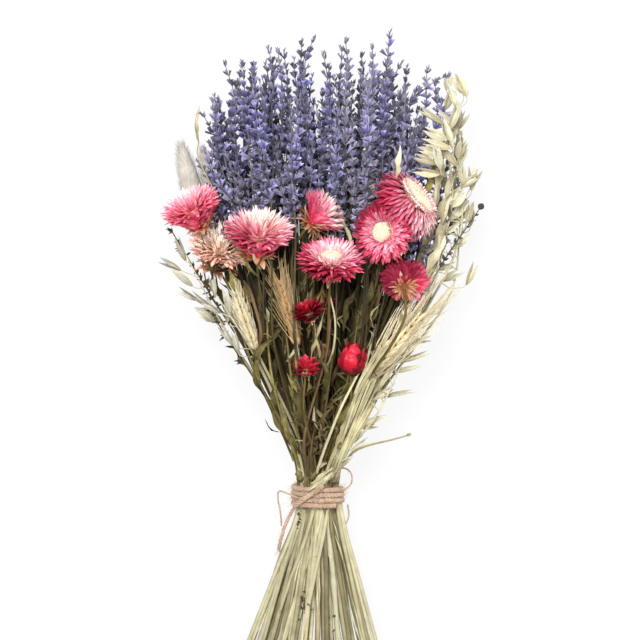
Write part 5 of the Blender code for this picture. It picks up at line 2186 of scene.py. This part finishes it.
STRAWS = tuple(Straw(*row) for row in (
    (((-5, -82), (5.5, -50), (15.3, -25), (25, -6), (31, 6)), 4, 1.2, STRAW, 1, 0),
    (((8, -80), (15, -60), (25, -32), (33, -10)), 3, 1.1, STRAW, 0.8),
    (((7, -80), (13, -58), (22, -28), (32, 6), (38, 28)), 2.5, 1.1, STRAW, 0.65),
    (((9, -80), (17, -58), (31, -28), (50, 6), (75, 50), (87, 98)), 2, 1, STRAW, 0.8),
    (((-42, 8), (-39, 24), (-44, 44), (-52, 58)), 7, 1.25, BROWN, 0.6),
    (((4, -2), (9, 12), (10, 32), (6, 50)), 8, 0.9, STRAW, 0.45, 0.5),
    (((-8, -80), (-10, -44), (-1.5, -13), (5, 11), (7, 32)), 4, 1.1, BROWN, 0.8),
    (((-4, -80), (-6, -56), (-3, -36), (-4, -14), (-2, 8)), 4, 0.7, BROWN, 0.4),
    (((-20, -60), (-38, -20), (-58, 26), (-78, 54), (-82, 77)), 3, 0.7, BROWN, 0.3, 0.5, 5),
    (((-22, -50), (-44, -10), (-66, 24), (-76, 40)), 4, 0.6, BROWN, 0.4, 0.4, 6),
    (((-50, 10), (-74, 46), (-90, 72), (-102, 92)), 3, 0.6, BROWN, 0.3, 0.3, 9),
    (((-18, -66), (-30, -36), (-46, 4), (-56, 32)), 3, 0.9, DRY, 0.6, 0.1),
    (((-14, -70), (-24, -40), (-33, 0), (-36, 34)), 3, 1, DRY, 0.8, 0.1),
    (((-10, -72), (-16, -40), (-20, -4), (-24, 30)), 3, 1, DRY, 0.65, 0.2),
    (((6, -70), (12, -40), (20, -2), (26, 34)), 2, 0.9, DRY, 0.4, 0.5),
    (((-70, 116), (-80, 136), (-84, 155)), 3, 0.4, PALE, 0.3, 0.6)))


@dataclass
class Undergrowth:
    """The dried leaves and loose stalks that fill the bunch between the flowers, and dark sheets of painted
    shade behind them.
    """

    bunch: Bunch
    field: StemField
    seed: int = 131
    filler_count: int = 150
    stalk_count: int = 110
    peel_count: int = 150
    crumb_count: int = 300
    chaff_count: int = 46
    band_count: int = 26
    shade_sheet_count: int = 12
    end_count: int = 17
    bits: tuple[Triple, ...] = ((-11, -163, 18), (-14, -108, 8), (-2, -124, 5), (9, -176, 4))
    shade_sheet_span: Pair = (-34.0, 46.0)
    torn: Knots = ((0, 0.3), (0.5, 1), (1, 0.1))

    def _line(self, route: Knots, lift: float, step: float) -> Array:
        """A smooth line that lies on the stems.

        Args:
            route: Places across and along the bunch.
            lift: How far above the stems it lies.
            step: The spacing of its points.

        Returns:
            The line's points.
        """
        knots = np.array([self.field.on_top(x, y, lift) for x, y in route])
        knots[0, 2] -= 2 * lift
        return smooth_line(knots, step)

    def build(self) -> None:
        """Build the leaves and the stalks."""
        finishes = (DRY_LEAF, PALE_LEAF, BROWN_STALK, STRAW_STALK)
        draws = [np.random.default_rng(self.seed + step) for step in range(8)]
        leaves, stalks = MeshDraft(), MeshDraft()
        self._leaves(leaves)
        self._shade_sheets(leaves)
        for fill, chance in zip((self._filler_leaves, self._dark_stalks, self._peels, self._crumbs,
                self._chaff), draws[1:]):
            fill(leaves, chance)
        self.bunch.deliver("dry_leaves", leaves, finishes, "lavender")
        self._straws(stalks, draws[0])
        self._straw_band(stalks, draws[6])
        self._free_ends(stalks, draws[7])
        self.bunch.deliver("loose_stalks", stalks, (*finishes, DARK_BUD), "oat_straw")

    def _leaves(self, draft: MeshDraft) -> None:
        """Add the leaves that can be told apart.

        Args:
            draft: Where they go.
        """
        for leaf in LEAVES:
            line = self._line(leaf.route, leaf.lift, 2.2)
            share = shares(line)
            crinkle = leaf.width * (0.85 + 0.2 * np.sin(share * 19 + 9 * leaf.tint))
            roll = leaf.twist * (share - 0.3) + 0.4 * np.sin(share * 11 + leaf.width)
            form = ribbon(line, ((0, 0.2), (0.25, 0.8), (0.55, 1), (0.8, 0.7), (1, 0.04)), crinkle,
                leaf.cup, 0.03, roll)
            draft.put(form, leaf.kind.value, leaf.tint, leaf.age)

    def _straws(self, draft: MeshDraft, draws: Draws) -> None:
        """Add the loose stalks that can be told apart, some with small buds.

        Args:
            draft: Where they go.
            draws: The random draws.
        """
        forms = LavenderForms()
        for straw in STRAWS:
            line = self._line(straw.route, straw.lift, 5)
            radii = np.linspace(1, 0.7, len(line)) * straw.radius
            draft.put(sweep(line, round_section(7, 0.06), radii, along=climb(line)), straw.kind.value,
                straw.tint, straw.age)
            buds = Places()
            for number in range(4 * straw.buds):
                index = int(len(line) * (0.45 + 0.55 * (number // 4 + 0.5) / straw.buds))
                forward, out = unit(line[index] - line[index - 1]), unit(draws.normal(0, 1, 3))
                buds.add(line[index], unit(forward + out), out, draws.uniform(0.8, 1.3),
                    draws.uniform(0, 0.7), 0.5)
            draft.scatter_variants(forms.buds, buds, 4)

    def _shade_sheets(self, draft: MeshDraft) -> None:
        """Add broad dark leaf-shaped sheets low in the bunch, behind the gaps between the stems: painted
        shade.

        Args:
            draft: Where they go.
        """
        for number, x in enumerate(np.linspace(*self.shade_sheet_span, self.shade_sheet_count)):
            line = smooth_line([(0.42 * x, -44, 20), (0.72 * x, 30, 15),
                (x, 104, 12 + 4 * (number % 2))], 16)
            form = ribbon(line, ((0, 0.4), (0.5, 1), (0.85, 0.9), (1, 0.1)), 9.5, 0.15, 0.04,
                0.25 * np.sin(shares(line) * 9 + x))
            # Painted shade: dark, fully browned sheets where only shade would be.
            draft.put(form, 0, 0.15 * (number % 3), 0.9)

    def _filler_leaves(self, draft: MeshDraft, draws: Draws) -> None:
        """Add narrow leaves deeper in the bunch, which close the gaps between the stems; every second one
        lies lower, wider and darker, as painted shade.

        Args:
            draft: Where they go.
            draws: The random draws.
        """
        for number in range(self.filler_count):
            deep = number % 2
            stem = self.field.pick(draws)
            low = draws.uniform(-66, 40)
            high = min(low + draws.uniform(26, 48) * (1 + deep), 116)
            side = draws.uniform(-8, 8)
            rows = ((low, 0, 1, 3), ((low + high) / 2, 0.5, 2, 5), (high, 1, draws.uniform(-2, 4), 7))
            knots = [stem.at(y) + vector(side * share, 0, rise - fall * deep)
                for y, share, rise, fall in rows]
            line = smooth_line(np.maximum(knots, LOWEST), 5)
            form = ribbon(line, ((0, 0.3), (0.4, 1), (0.75, 0.7), (1, 0.05)),
                draws.uniform(2.5, 5) * (1 + 0.6 * deep), 0.4, 0.04,
                (draws.uniform(-1, 1) + draws.uniform(-1.5, 1.5) * shares(line)) * (1 - 0.7 * deep))
            # The lower leaves' darker tints and deeper browning are painted shade.
            draft.put(form, 0, draws.uniform(0, 0.8 - 0.5 * deep), draws.uniform(0.2 + 0.4 * deep, 1))

    def _dark_stalks(self, draft: MeshDraft, draws: Draws) -> None:
        """Add thin dark stalks between the stems, from above the tie to the lavender; their darkness is
        partly their own colour, partly painted shade between the stems.

        Args:
            draft: Where they go.
            draws: The random draws.
        """
        for _ in range(self.stalk_count):
            stem = self.field.pick(draws)
            levels = np.linspace(draws.uniform(-66, -30), draws.uniform(70, 124), 5)
            side, drop = draws.uniform(-9, 9), draws.uniform(-2, 10)
            knots = [stem.at(min(y, stem.start[1])) * (1, 0, 1) +
                vector(side * share, y, -drop * share) for share, y in zip((0, 0.4, 0.7, 0.9, 1), levels)]
            line = smooth_line(np.maximum(knots, LOWEST), 14)
            form = sweep(line, round_section(5), draws.uniform(0.5, 1.1))
            draft.put(form, 0, draws.uniform(0, 0.6), draws.uniform(0.5, 1))

    def _peels(self, draft: MeshDraft, draws: Draws) -> None:
        """Add torn sheaths and brown bits along the stems below the tie.

        Args:
            draft: Where they go.
            draws: The random draws.
        """
        for _ in range(self.peel_count):
            stem = self.field.stems[draws.integers(len(self.field.stems))]
            y = draws.uniform(-212, -112)
            here = stem.at(y)
            if here[2] < self.field.top_at(here[0], y, 2.5) - 1.5:
                continue
            here, there = here + UP * 1.6, stem.at(y + draws.uniform(14, 40)) + UP * 1.6
            there = there + vector(draws.uniform(-2, 2), 0, draws.uniform(0, 1.5))
            middle = (here + there) / 2 + vector(draws.uniform(-1, 1), 0, 0.6)
            line = smooth_line([here, middle, there], 5)
            form = ribbon(line, self.torn, draws.uniform(0.5, 1.5), 0.3, 0.06,
                draws.uniform(-0.8, 0.8) * shares(line))
            draft.put(form, draws.choice((1, 1, 3)), draws.uniform(0.3, 1), draws.uniform() ** 3)

    def _crumbs(self, draft: MeshDraft, draws: Draws) -> None:
        """Add small crumpled leaves and torn bits among the stems above the tie.

        Args:
            draft: Where they go.
            draws: The random draws.
        """
        for _ in range(self.crumb_count):
            stem = self.field.pick(draws)
            y = draws.uniform(-74, 86)
            x = stem.at(y)[0] + draws.uniform(-5, 5)
            start = self.field.on_top(x, y, -draws.uniform(-2.5, 9), 8)
            if x > 38 and start[2] > 76:
                continue
            aim = unit(vector(0.006 * x + draws.normal(0, 0.45), 1, draws.uniform(-0.2, 0.4)))
            aim = aim * draws.uniform(6, 20)
            line = smooth_line([start, start + aim * 0.5 + draws.normal(0, 1.3, 3),
                start + aim + draws.normal(0, 2.6, 3)], 4)
            form = ribbon(line, self.torn, draws.uniform(1.2, 4), draws.uniform(0.2, 0.7), 0.06,
                draws.uniform(-1.5, 1.5) + draws.uniform(-2.5, 2.5) * shares(line))
            draft.put(form, draws.choice((0, 0, 0, 1, 2)), draws.uniform(0, 0.9), draws.uniform(0, 1))

    def _chaff(self, draft: MeshDraft, draws: Draws) -> None:
        """Add the band of pale chaff that crosses the tie, and the knobby joint above it.

        Args:
            draft: Where they go.
            draws: The random draws.
        """
        rim = self.bunch.wrap_outside + 4.6
        for _ in range(self.chaff_count):
            low, high = sorted(draws.uniform(-0.1, 1.1, 2))
            sides = draws.uniform(-2.6, 2.6) + draws.uniform(-1.8, 1.8) * np.linspace(-1, 1, 4)
            knots = []
            for share, side in zip(np.linspace(low, max(high, low + 0.35), 4), sides):
                x, y = -6 + 26 * share - 0.6 * side, -83.5 + 21 * share + 0.75 * side
                over = TIE_MIDDLE[2] + math.sqrt(max(rim**2 - (x - TIE_MIDDLE[0]) ** 2, 0))
                z = np.interp(y, (-84, -76), (over, self.field.top_at(x, y, 5) + 1.6))
                knots.append((x, y, z + draws.uniform(-0.8, 1.2)))
            form = ribbon(smooth_line(knots, 2.5), ((0, 0.3), (0.5, 1), (1, 0.2)),
                draws.uniform(0.8, 2.2), 0.3, 0.08, draws.uniform(-0.9, 0.9))
            draft.put(form, draws.choice((1, 3)), draws.uniform(0.6, 1), draws.uniform(0, 0.3))
        joint = pod_form(8, ((0, 1.2), (0.25, 2.9), (0.5, 2.2), (0.75, 2.8), (1, 1)), 9, 0.2)
        places = Places()
        for x, y, turn in ((-9.5, -84, 0.1), (-13, -80, -0.3), (-6, -79, 0.4)):
            places.add(self.field.on_top(x, y, 0.6, 5), unit(vector(turn, 1, 0.1)), UP,
                draws.uniform(0.6, 1), 0.55, 0.3)
        draft.scatter(joint, places, 0)

    def _straw_band(self, draft: MeshDraft, draws: Draws) -> None:
        """Add the fine straws and ribbons that fan out from the tie to the right.

        Args:
            draft: Where they go.
            draws: The random draws.
        """
        for number in range(self.band_count):
            share, lift = draws.uniform(), draws.uniform(0.5, 3.5)
            route = [(2 + 10 * share, -80), (8 + 11 * share, -60), (17 + 15 * share, -34),
                (27 + 19 * share, -8), (38 + 26 * share, 12 + 26 * share)]
            last = draws.integers(4, 6) if share < 0.4 else 4
            line = self._line([(x + draws.normal(0, 0.8), y) for x, y in route[:last]], lift, 5)
            width = draws.uniform(0.45, 1) * np.linspace(1, 0.7, len(line))
            if number % 2:
                form = sweep(line, leaf_section(0.3, 0.12), width * 2.8, along=climb(line),
                    roll=draws.uniform(-0.8, 0.8) + 0.5 * np.sin(line[:, 1] / 9))
            else:
                form = sweep(line, round_section(6, 0.08), width, along=climb(line))
            draft.put(form, 3, draws.uniform(0.4, 1), draws.uniform() ** 2)

    def _free_ends(self, draft: MeshDraft, draws: Draws) -> None:
        """Add the stalks that cross the others below the tie or stand apart, and brown bits.

        Args:
            draft: Where they go.
            draws: The random draws.
        """
        for number in range(self.end_count):
            apart = number < 3
            start = 11 + number if apart else draws.uniform(-13, 7)
            end = 37 + 5.5 * number if apart else 1.5 * start - draws.uniform(8, 44)
            foot = FOOT_Y + draws.uniform(0, 7)
            knots = [self.field.on_top(start, -90, -2.5, 4)]
            for share in (0.1, 0.4, 0.7, 1):
                x, y = start + (end - start) * share, -96 + (foot + 96) * share
                knots.append(self.field.on_top(x, y, 1.4 - apart * 3 * share, 4))
            line = smooth_line(knots, 9)
            width = draws.uniform(1, 1.5)
            form = sweep(line, round_section(8, 0.06), width, width * 0.8, along=climb(line))
            draft.put(form, 3, draws.uniform(0.2, 1), draws.uniform() ** 2)
        for x, y in ((x, y) for x, y, count in self.bits for _ in range(int(count))):
            place = self.field.on_top(x + draws.normal(0, 1.6), y + draws.normal(0, 6), 1.5, 3)
            aim = unit(draws.normal(0, 1, 3) * (1, 1, 0.3)) * draws.uniform(1.5, 4.5)
            line = smooth_line([place, place + aim * 0.5 + UP * 0.6, place + aim], 1.5)
            form = ribbon(line, ((0, 0.4), (0.5, 1), (1, 0.2)), draws.uniform(0.9, 2), 0.5, 0.1)
            draft.put(form, draws.choice((0, 2)), draws.uniform(0, 0.6), 0.9)


# ---------------------------------------------------------------- twine


@dataclass
class Twine:
    """Soft three-ply twine: the wraps, the crossing strand and the loose tail."""

    bunch: Bunch
    radius: float = 1.85
    solid_radius: float = 1.6
    gap: float = 0.45
    turns: float = 3.6
    pitch: float = 3.6
    twist_length: float = 8.0
    tip_fibres: int = 26
    loose_fibres: int = 40
    seed: int = 111
    loops: tuple[tuple[Triple, ...], ...] = (((-15, -91, 48.5), (-21, -88.5, 45), (-28.5, -87, 42),
        (-29, -92, 40), (-27.4, -101, 39), (-26.6, -111, 38)), ((13, -84, 49), (17.5, -84.6, 47),
        (21.5, -81, 44), (22, -76, 43), (19, -71.5, 45), (14, -70.5, 49), (8, -76, 53)),
        ((19, -96, 42), (20, -103, 40), (17, -112, 38), (14.5, -118, 38)))
    tail: tuple[Triple, ...] = ((-17, -97.2, 44.9), (-18, -98.4, 43.6), (-19.4, -100.6, 42.3),
        (-21, -103.6, 41.2), (-22.8, -107.4, 40.3), (-24.6, -112, 39.6), (-26.2, -117, 39),
        (-27.6, -122.4, 38.5), (-28.6, -128, 38))

    def _strand(self, draft: MeshDraft, line: Array, radius: float, fuzz: float) -> None:
        """Add three twisted plies along a line, and loose fibres.

        Args:
            draft: Where they go.
            line: The strand's centre line, about a millimetre between points.
            radius: Outer radius of the strand.
            fuzz: Loose fibres for each millimetre.
        """
        draws = np.random.default_rng(self.seed + len(line))
        side, upward, forward = frames_along(line, UP)
        distance = travelled(line)
        for ply in range(3):
            angle = (distance / self.twist_length * 2 * math.pi + ply * 2 * math.pi / 3)[:, None]
            offset = (side * np.cos(angle) + upward * np.sin(angle)) * radius * 0.5
            wander = 1 + 0.1 * np.sin(distance / 3.1 + ply * 2)
            form = sweep(line + offset, round_section(8, 0.12), radius * 0.56 * wander, roll=distance / 3)
            draft.put(form, 0, 0.35 + 0.25 * ply, 0.15 + 0.2 * ply)
        hair = blade_form(5.2, 0.17, 1.1, 0.1, ((0, 1), (0.6, 0.8), (1, 0.2)), 2, body=0.4)
        places = Places()
        for _ in range(int(distance[-1] * fuzz)):
            index = draws.integers(1, len(line) - 1)
            out = around(side[index], upward[index], draws.uniform(0, 2 * math.pi))
            direction = unit(forward[index] * draws.uniform(-1, 1) + out * draws.uniform(0.05, 0.6))
            places.add(line[index] + out * radius * 0.75, direction, forward[index],
                draws.uniform(0.4, 1.2), draws.uniform(0.3, 1), draws.uniform(0, 0.4))
        draft.scatter(hair, places, 0)

    @staticmethod
    def _arc(radius: float, angle: Array, climbed: Array) -> Array:
        """A line round the middle of the tie that climbs along the bunch."""
        return TIE_MIDDLE + np.column_stack([radius * np.cos(angle), climbed, radius * np.sin(angle)])

    def _deliver(self, name: str, draft: MeshDraft, *nodes: str) -> bpy.types.Object:
        """Make a piece of twine."""
        return self.bunch.deliver(name, draft, (TWINE_FIBRE,), "twine", nodes)

    def build(self) -> None:
        """Build the three parts of the tie."""
        ring = self.bunch.wrap_outside - self.solid_radius
        turn = np.linspace(0, self.turns, int(self.turns * 96))
        draft = MeshDraft()
        wraps = self._arc(ring, 2 * math.pi * turn + 0.8, self.pitch * (turn - self.turns / 2))
        self._strand(draft, wraps, self.radius, 3.6)
        self._deliver("twine_wound", draft, "twine_wraps")
        share = np.linspace(0, 1, 40)
        draft = MeshDraft()
        over = ring + 2 * self.solid_radius + self.gap
        self._strand(draft, self._arc(over, np.radians(142 - 62 * share), 15 * share - 7), self.radius, 6)
        for route in self.loops:
            self._strand(draft, smooth_line(route, 1), 0.62, 0.4)
        self._deliver("twine_over", draft, "twine_crossing")
        self._tail()

    def _tail(self) -> None:
        """Build the loose end, a short free cord, with the frayed fibres at its tip."""
        line = smooth_line(self.tail, 1)
        draft, frayed, places = MeshDraft(), MeshDraft(), Places()
        self._strand(draft, line, 1.3, 0)
        tail = self._deliver("twine_tail_plies", draft, "twine_tail")
        draws = np.random.default_rng(self.seed)
        hair = blade_form(6.5, 0.2, 0.5, 0.1, ((0, 1), (0.7, 0.8), (1, 0.2)), 4, body=0.4)
        for _ in range(self.tip_fibres):
            out = unit(draws.normal(0, 1, 3))
            direction = unit(unit(line[-1] - line[-4]) + out * 0.35)
            places.add(line[-2] + out * 0.6, direction, out, draws.uniform(0.5, 1.1), draws.uniform(0.3, 1),
                0.1)
        for _ in range(self.loose_fibres):
            index = draws.integers(2, len(line) - 2)
            out = unit(draws.normal(0, 1, 3))
            places.add(line[index] + out * 0.9, unit(out + unit(line[index + 1] - line[index]) * 0.8), out,
                draws.uniform(0.3, 0.7), draws.uniform(0.3, 1), 0.1)
        frayed.scatter(hair, places, 0)
        fringe = self._deliver("twine_tail_fray", frayed)


# ---------------------------------------------------------------- the studio


@dataclass(frozen=True)
class Studio:
    """A pale floor, plain soft light and the camera that looks down on the bunch."""

    view_middle: Pair = (-2.2, 32.3)
    view_height: float = 1360.0
    view_plane: float = 60.0
    view_width: float = 435.0
    sensor: float = 36.0

    def build(self) -> None:
        """Build floor, lights and camera, and set the plain view transform."""
        self._floor()
        self._world()
        self._lamp("key", (-180, 400, 1240), 560, 17.6)
        self._lamp("fill", (650, -200, 900), 800, 4)
        data = bpy.data.cameras.new("overhead")
        data.sensor_width = self.sensor
        data.lens = self.sensor * (self.view_height - self.view_plane) / self.view_width
        camera = self._show("overhead", data)
        camera.location = vector(*self.view_middle, self.view_height) * MM
        bpy.context.scene.camera = camera
        bpy.context.scene.view_settings.view_transform = "Standard"

    @staticmethod
    def _show(name: str, data: bpy.types.ID) -> bpy.types.Object:
        """A new object in the scene.

        Args:
            name: Its name.
            data: Its mesh, lamp or camera.

        Returns:
            The object.
        """
        thing = bpy.data.objects.new(name, data)
        bpy.context.scene.collection.objects.link(thing)
        return thing

    def _floor(self) -> None:
        """A white floor that keeps a soft shadow."""
        mesh = bpy.data.meshes.new("floor")
        mesh.from_pydata([(-4, -4, 0), (4, -4, 0), (4, 4, 0), (-4, 4, 0)], [], [(0, 1, 2, 3)])
        material = bpy.data.materials.new("studio_floor")
        material.use_nodes = True
        wiring, nodes = Wiring(material.node_tree), material.node_tree.nodes
        surface = wiring.fill(nodes["Principled BSDF"], Base_Color=(0.9, 0.9, 0.9, 1), Roughness=1,
            Specular_IOR_Level=0)
        rays = wiring.node("ShaderNodeLightPath").outputs
        seen = wiring.maths("MAXIMUM", rays["Is Camera Ray"], rays["Is Glossy Ray"])
        seen = wiring.maths("MAXIMUM", seen, rays["Is Transmission Ray"])
        glow = wiring.fill(wiring.node("ShaderNodeEmission"), Color=(1, 1, 1, 1), Strength=1)
        mix = wiring.fill(wiring.node("ShaderNodeMixShader"), wiring.maths("MULTIPLY", seen, 0.88),
            surface[0], glow[0])
        wiring.fill(nodes["Material Output"], Surface=mix[0])
        mesh.materials.append(material)
        floor = self._show("floor", mesh)

    @staticmethod
    def _world() -> None:
        """Plain white surroundings, seen as white and giving a third of the light."""
        world = bpy.data.worlds.new("studio_world")
        bpy.context.scene.world = world
        world.use_nodes = True
        wiring = Wiring(world.node_tree)
        rays = wiring.node("ShaderNodeLightPath").outputs
        seen = wiring.maths("MAXIMUM", rays["Is Camera Ray"], rays["Is Transmission Ray"])
        wiring.fill(world.node_tree.nodes["Background"], Color=(1, 1, 1, 1),
            Strength=wiring.fit(seen, 0.33, 1))

    def _lamp(self, name: str, place: Triple, size: float, power: float) -> None:
        """One large soft lamp that points at the middle of the bunch.

        Args:
            name: The lamp's name.
            place: Where it hangs, in millimetres.
            size: Its width, in millimetres.
            power: Its power, in watts.
        """
        data = bpy.data.lights.new(name, "AREA")
        data.shape = "DISK"
        data.size = size * MM
        data.energy = power
        lamp = self._show(name, data)
        position = vector(*place) * MM
        lamp.location = position
        aim = unit(vector(0, 0.05, 0.05) - position)
        yaw = math.atan2(aim[0], -aim[1])
        lamp.rotation_euler = (math.acos(-aim[2]), 0, yaw + math.pi)


def main() -> None:
    """Build the studio and every piece of the bunch, and note the sizes."""
    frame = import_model()
    for item in [thing for thing in bpy.data.objects if thing.type in {"LIGHT", "CAMERA"}]:
        bpy.data.objects.remove(item)
    Studio().build()
    bunch = Bunch(frame)
    Twine(bunch).build()
    dresser = StemDresser()
    lavender = Lavender(bunch, dresser)
    lavender.build()
    for kind in (Strawflowers, Oats, Wheat, BunnyTails, DarkSprig, BareTwig):
        kind(bunch, dresser).build()
    field = StemField(list(bunch.stems.values()))
    lavender.build_loose(field)
    lavender.build_shoots(field)
    Undergrowth(bunch, field).build()
    LOG.info("all pieces: %d triangles", bunch.faces)


if __name__ == "__main__":
    main()
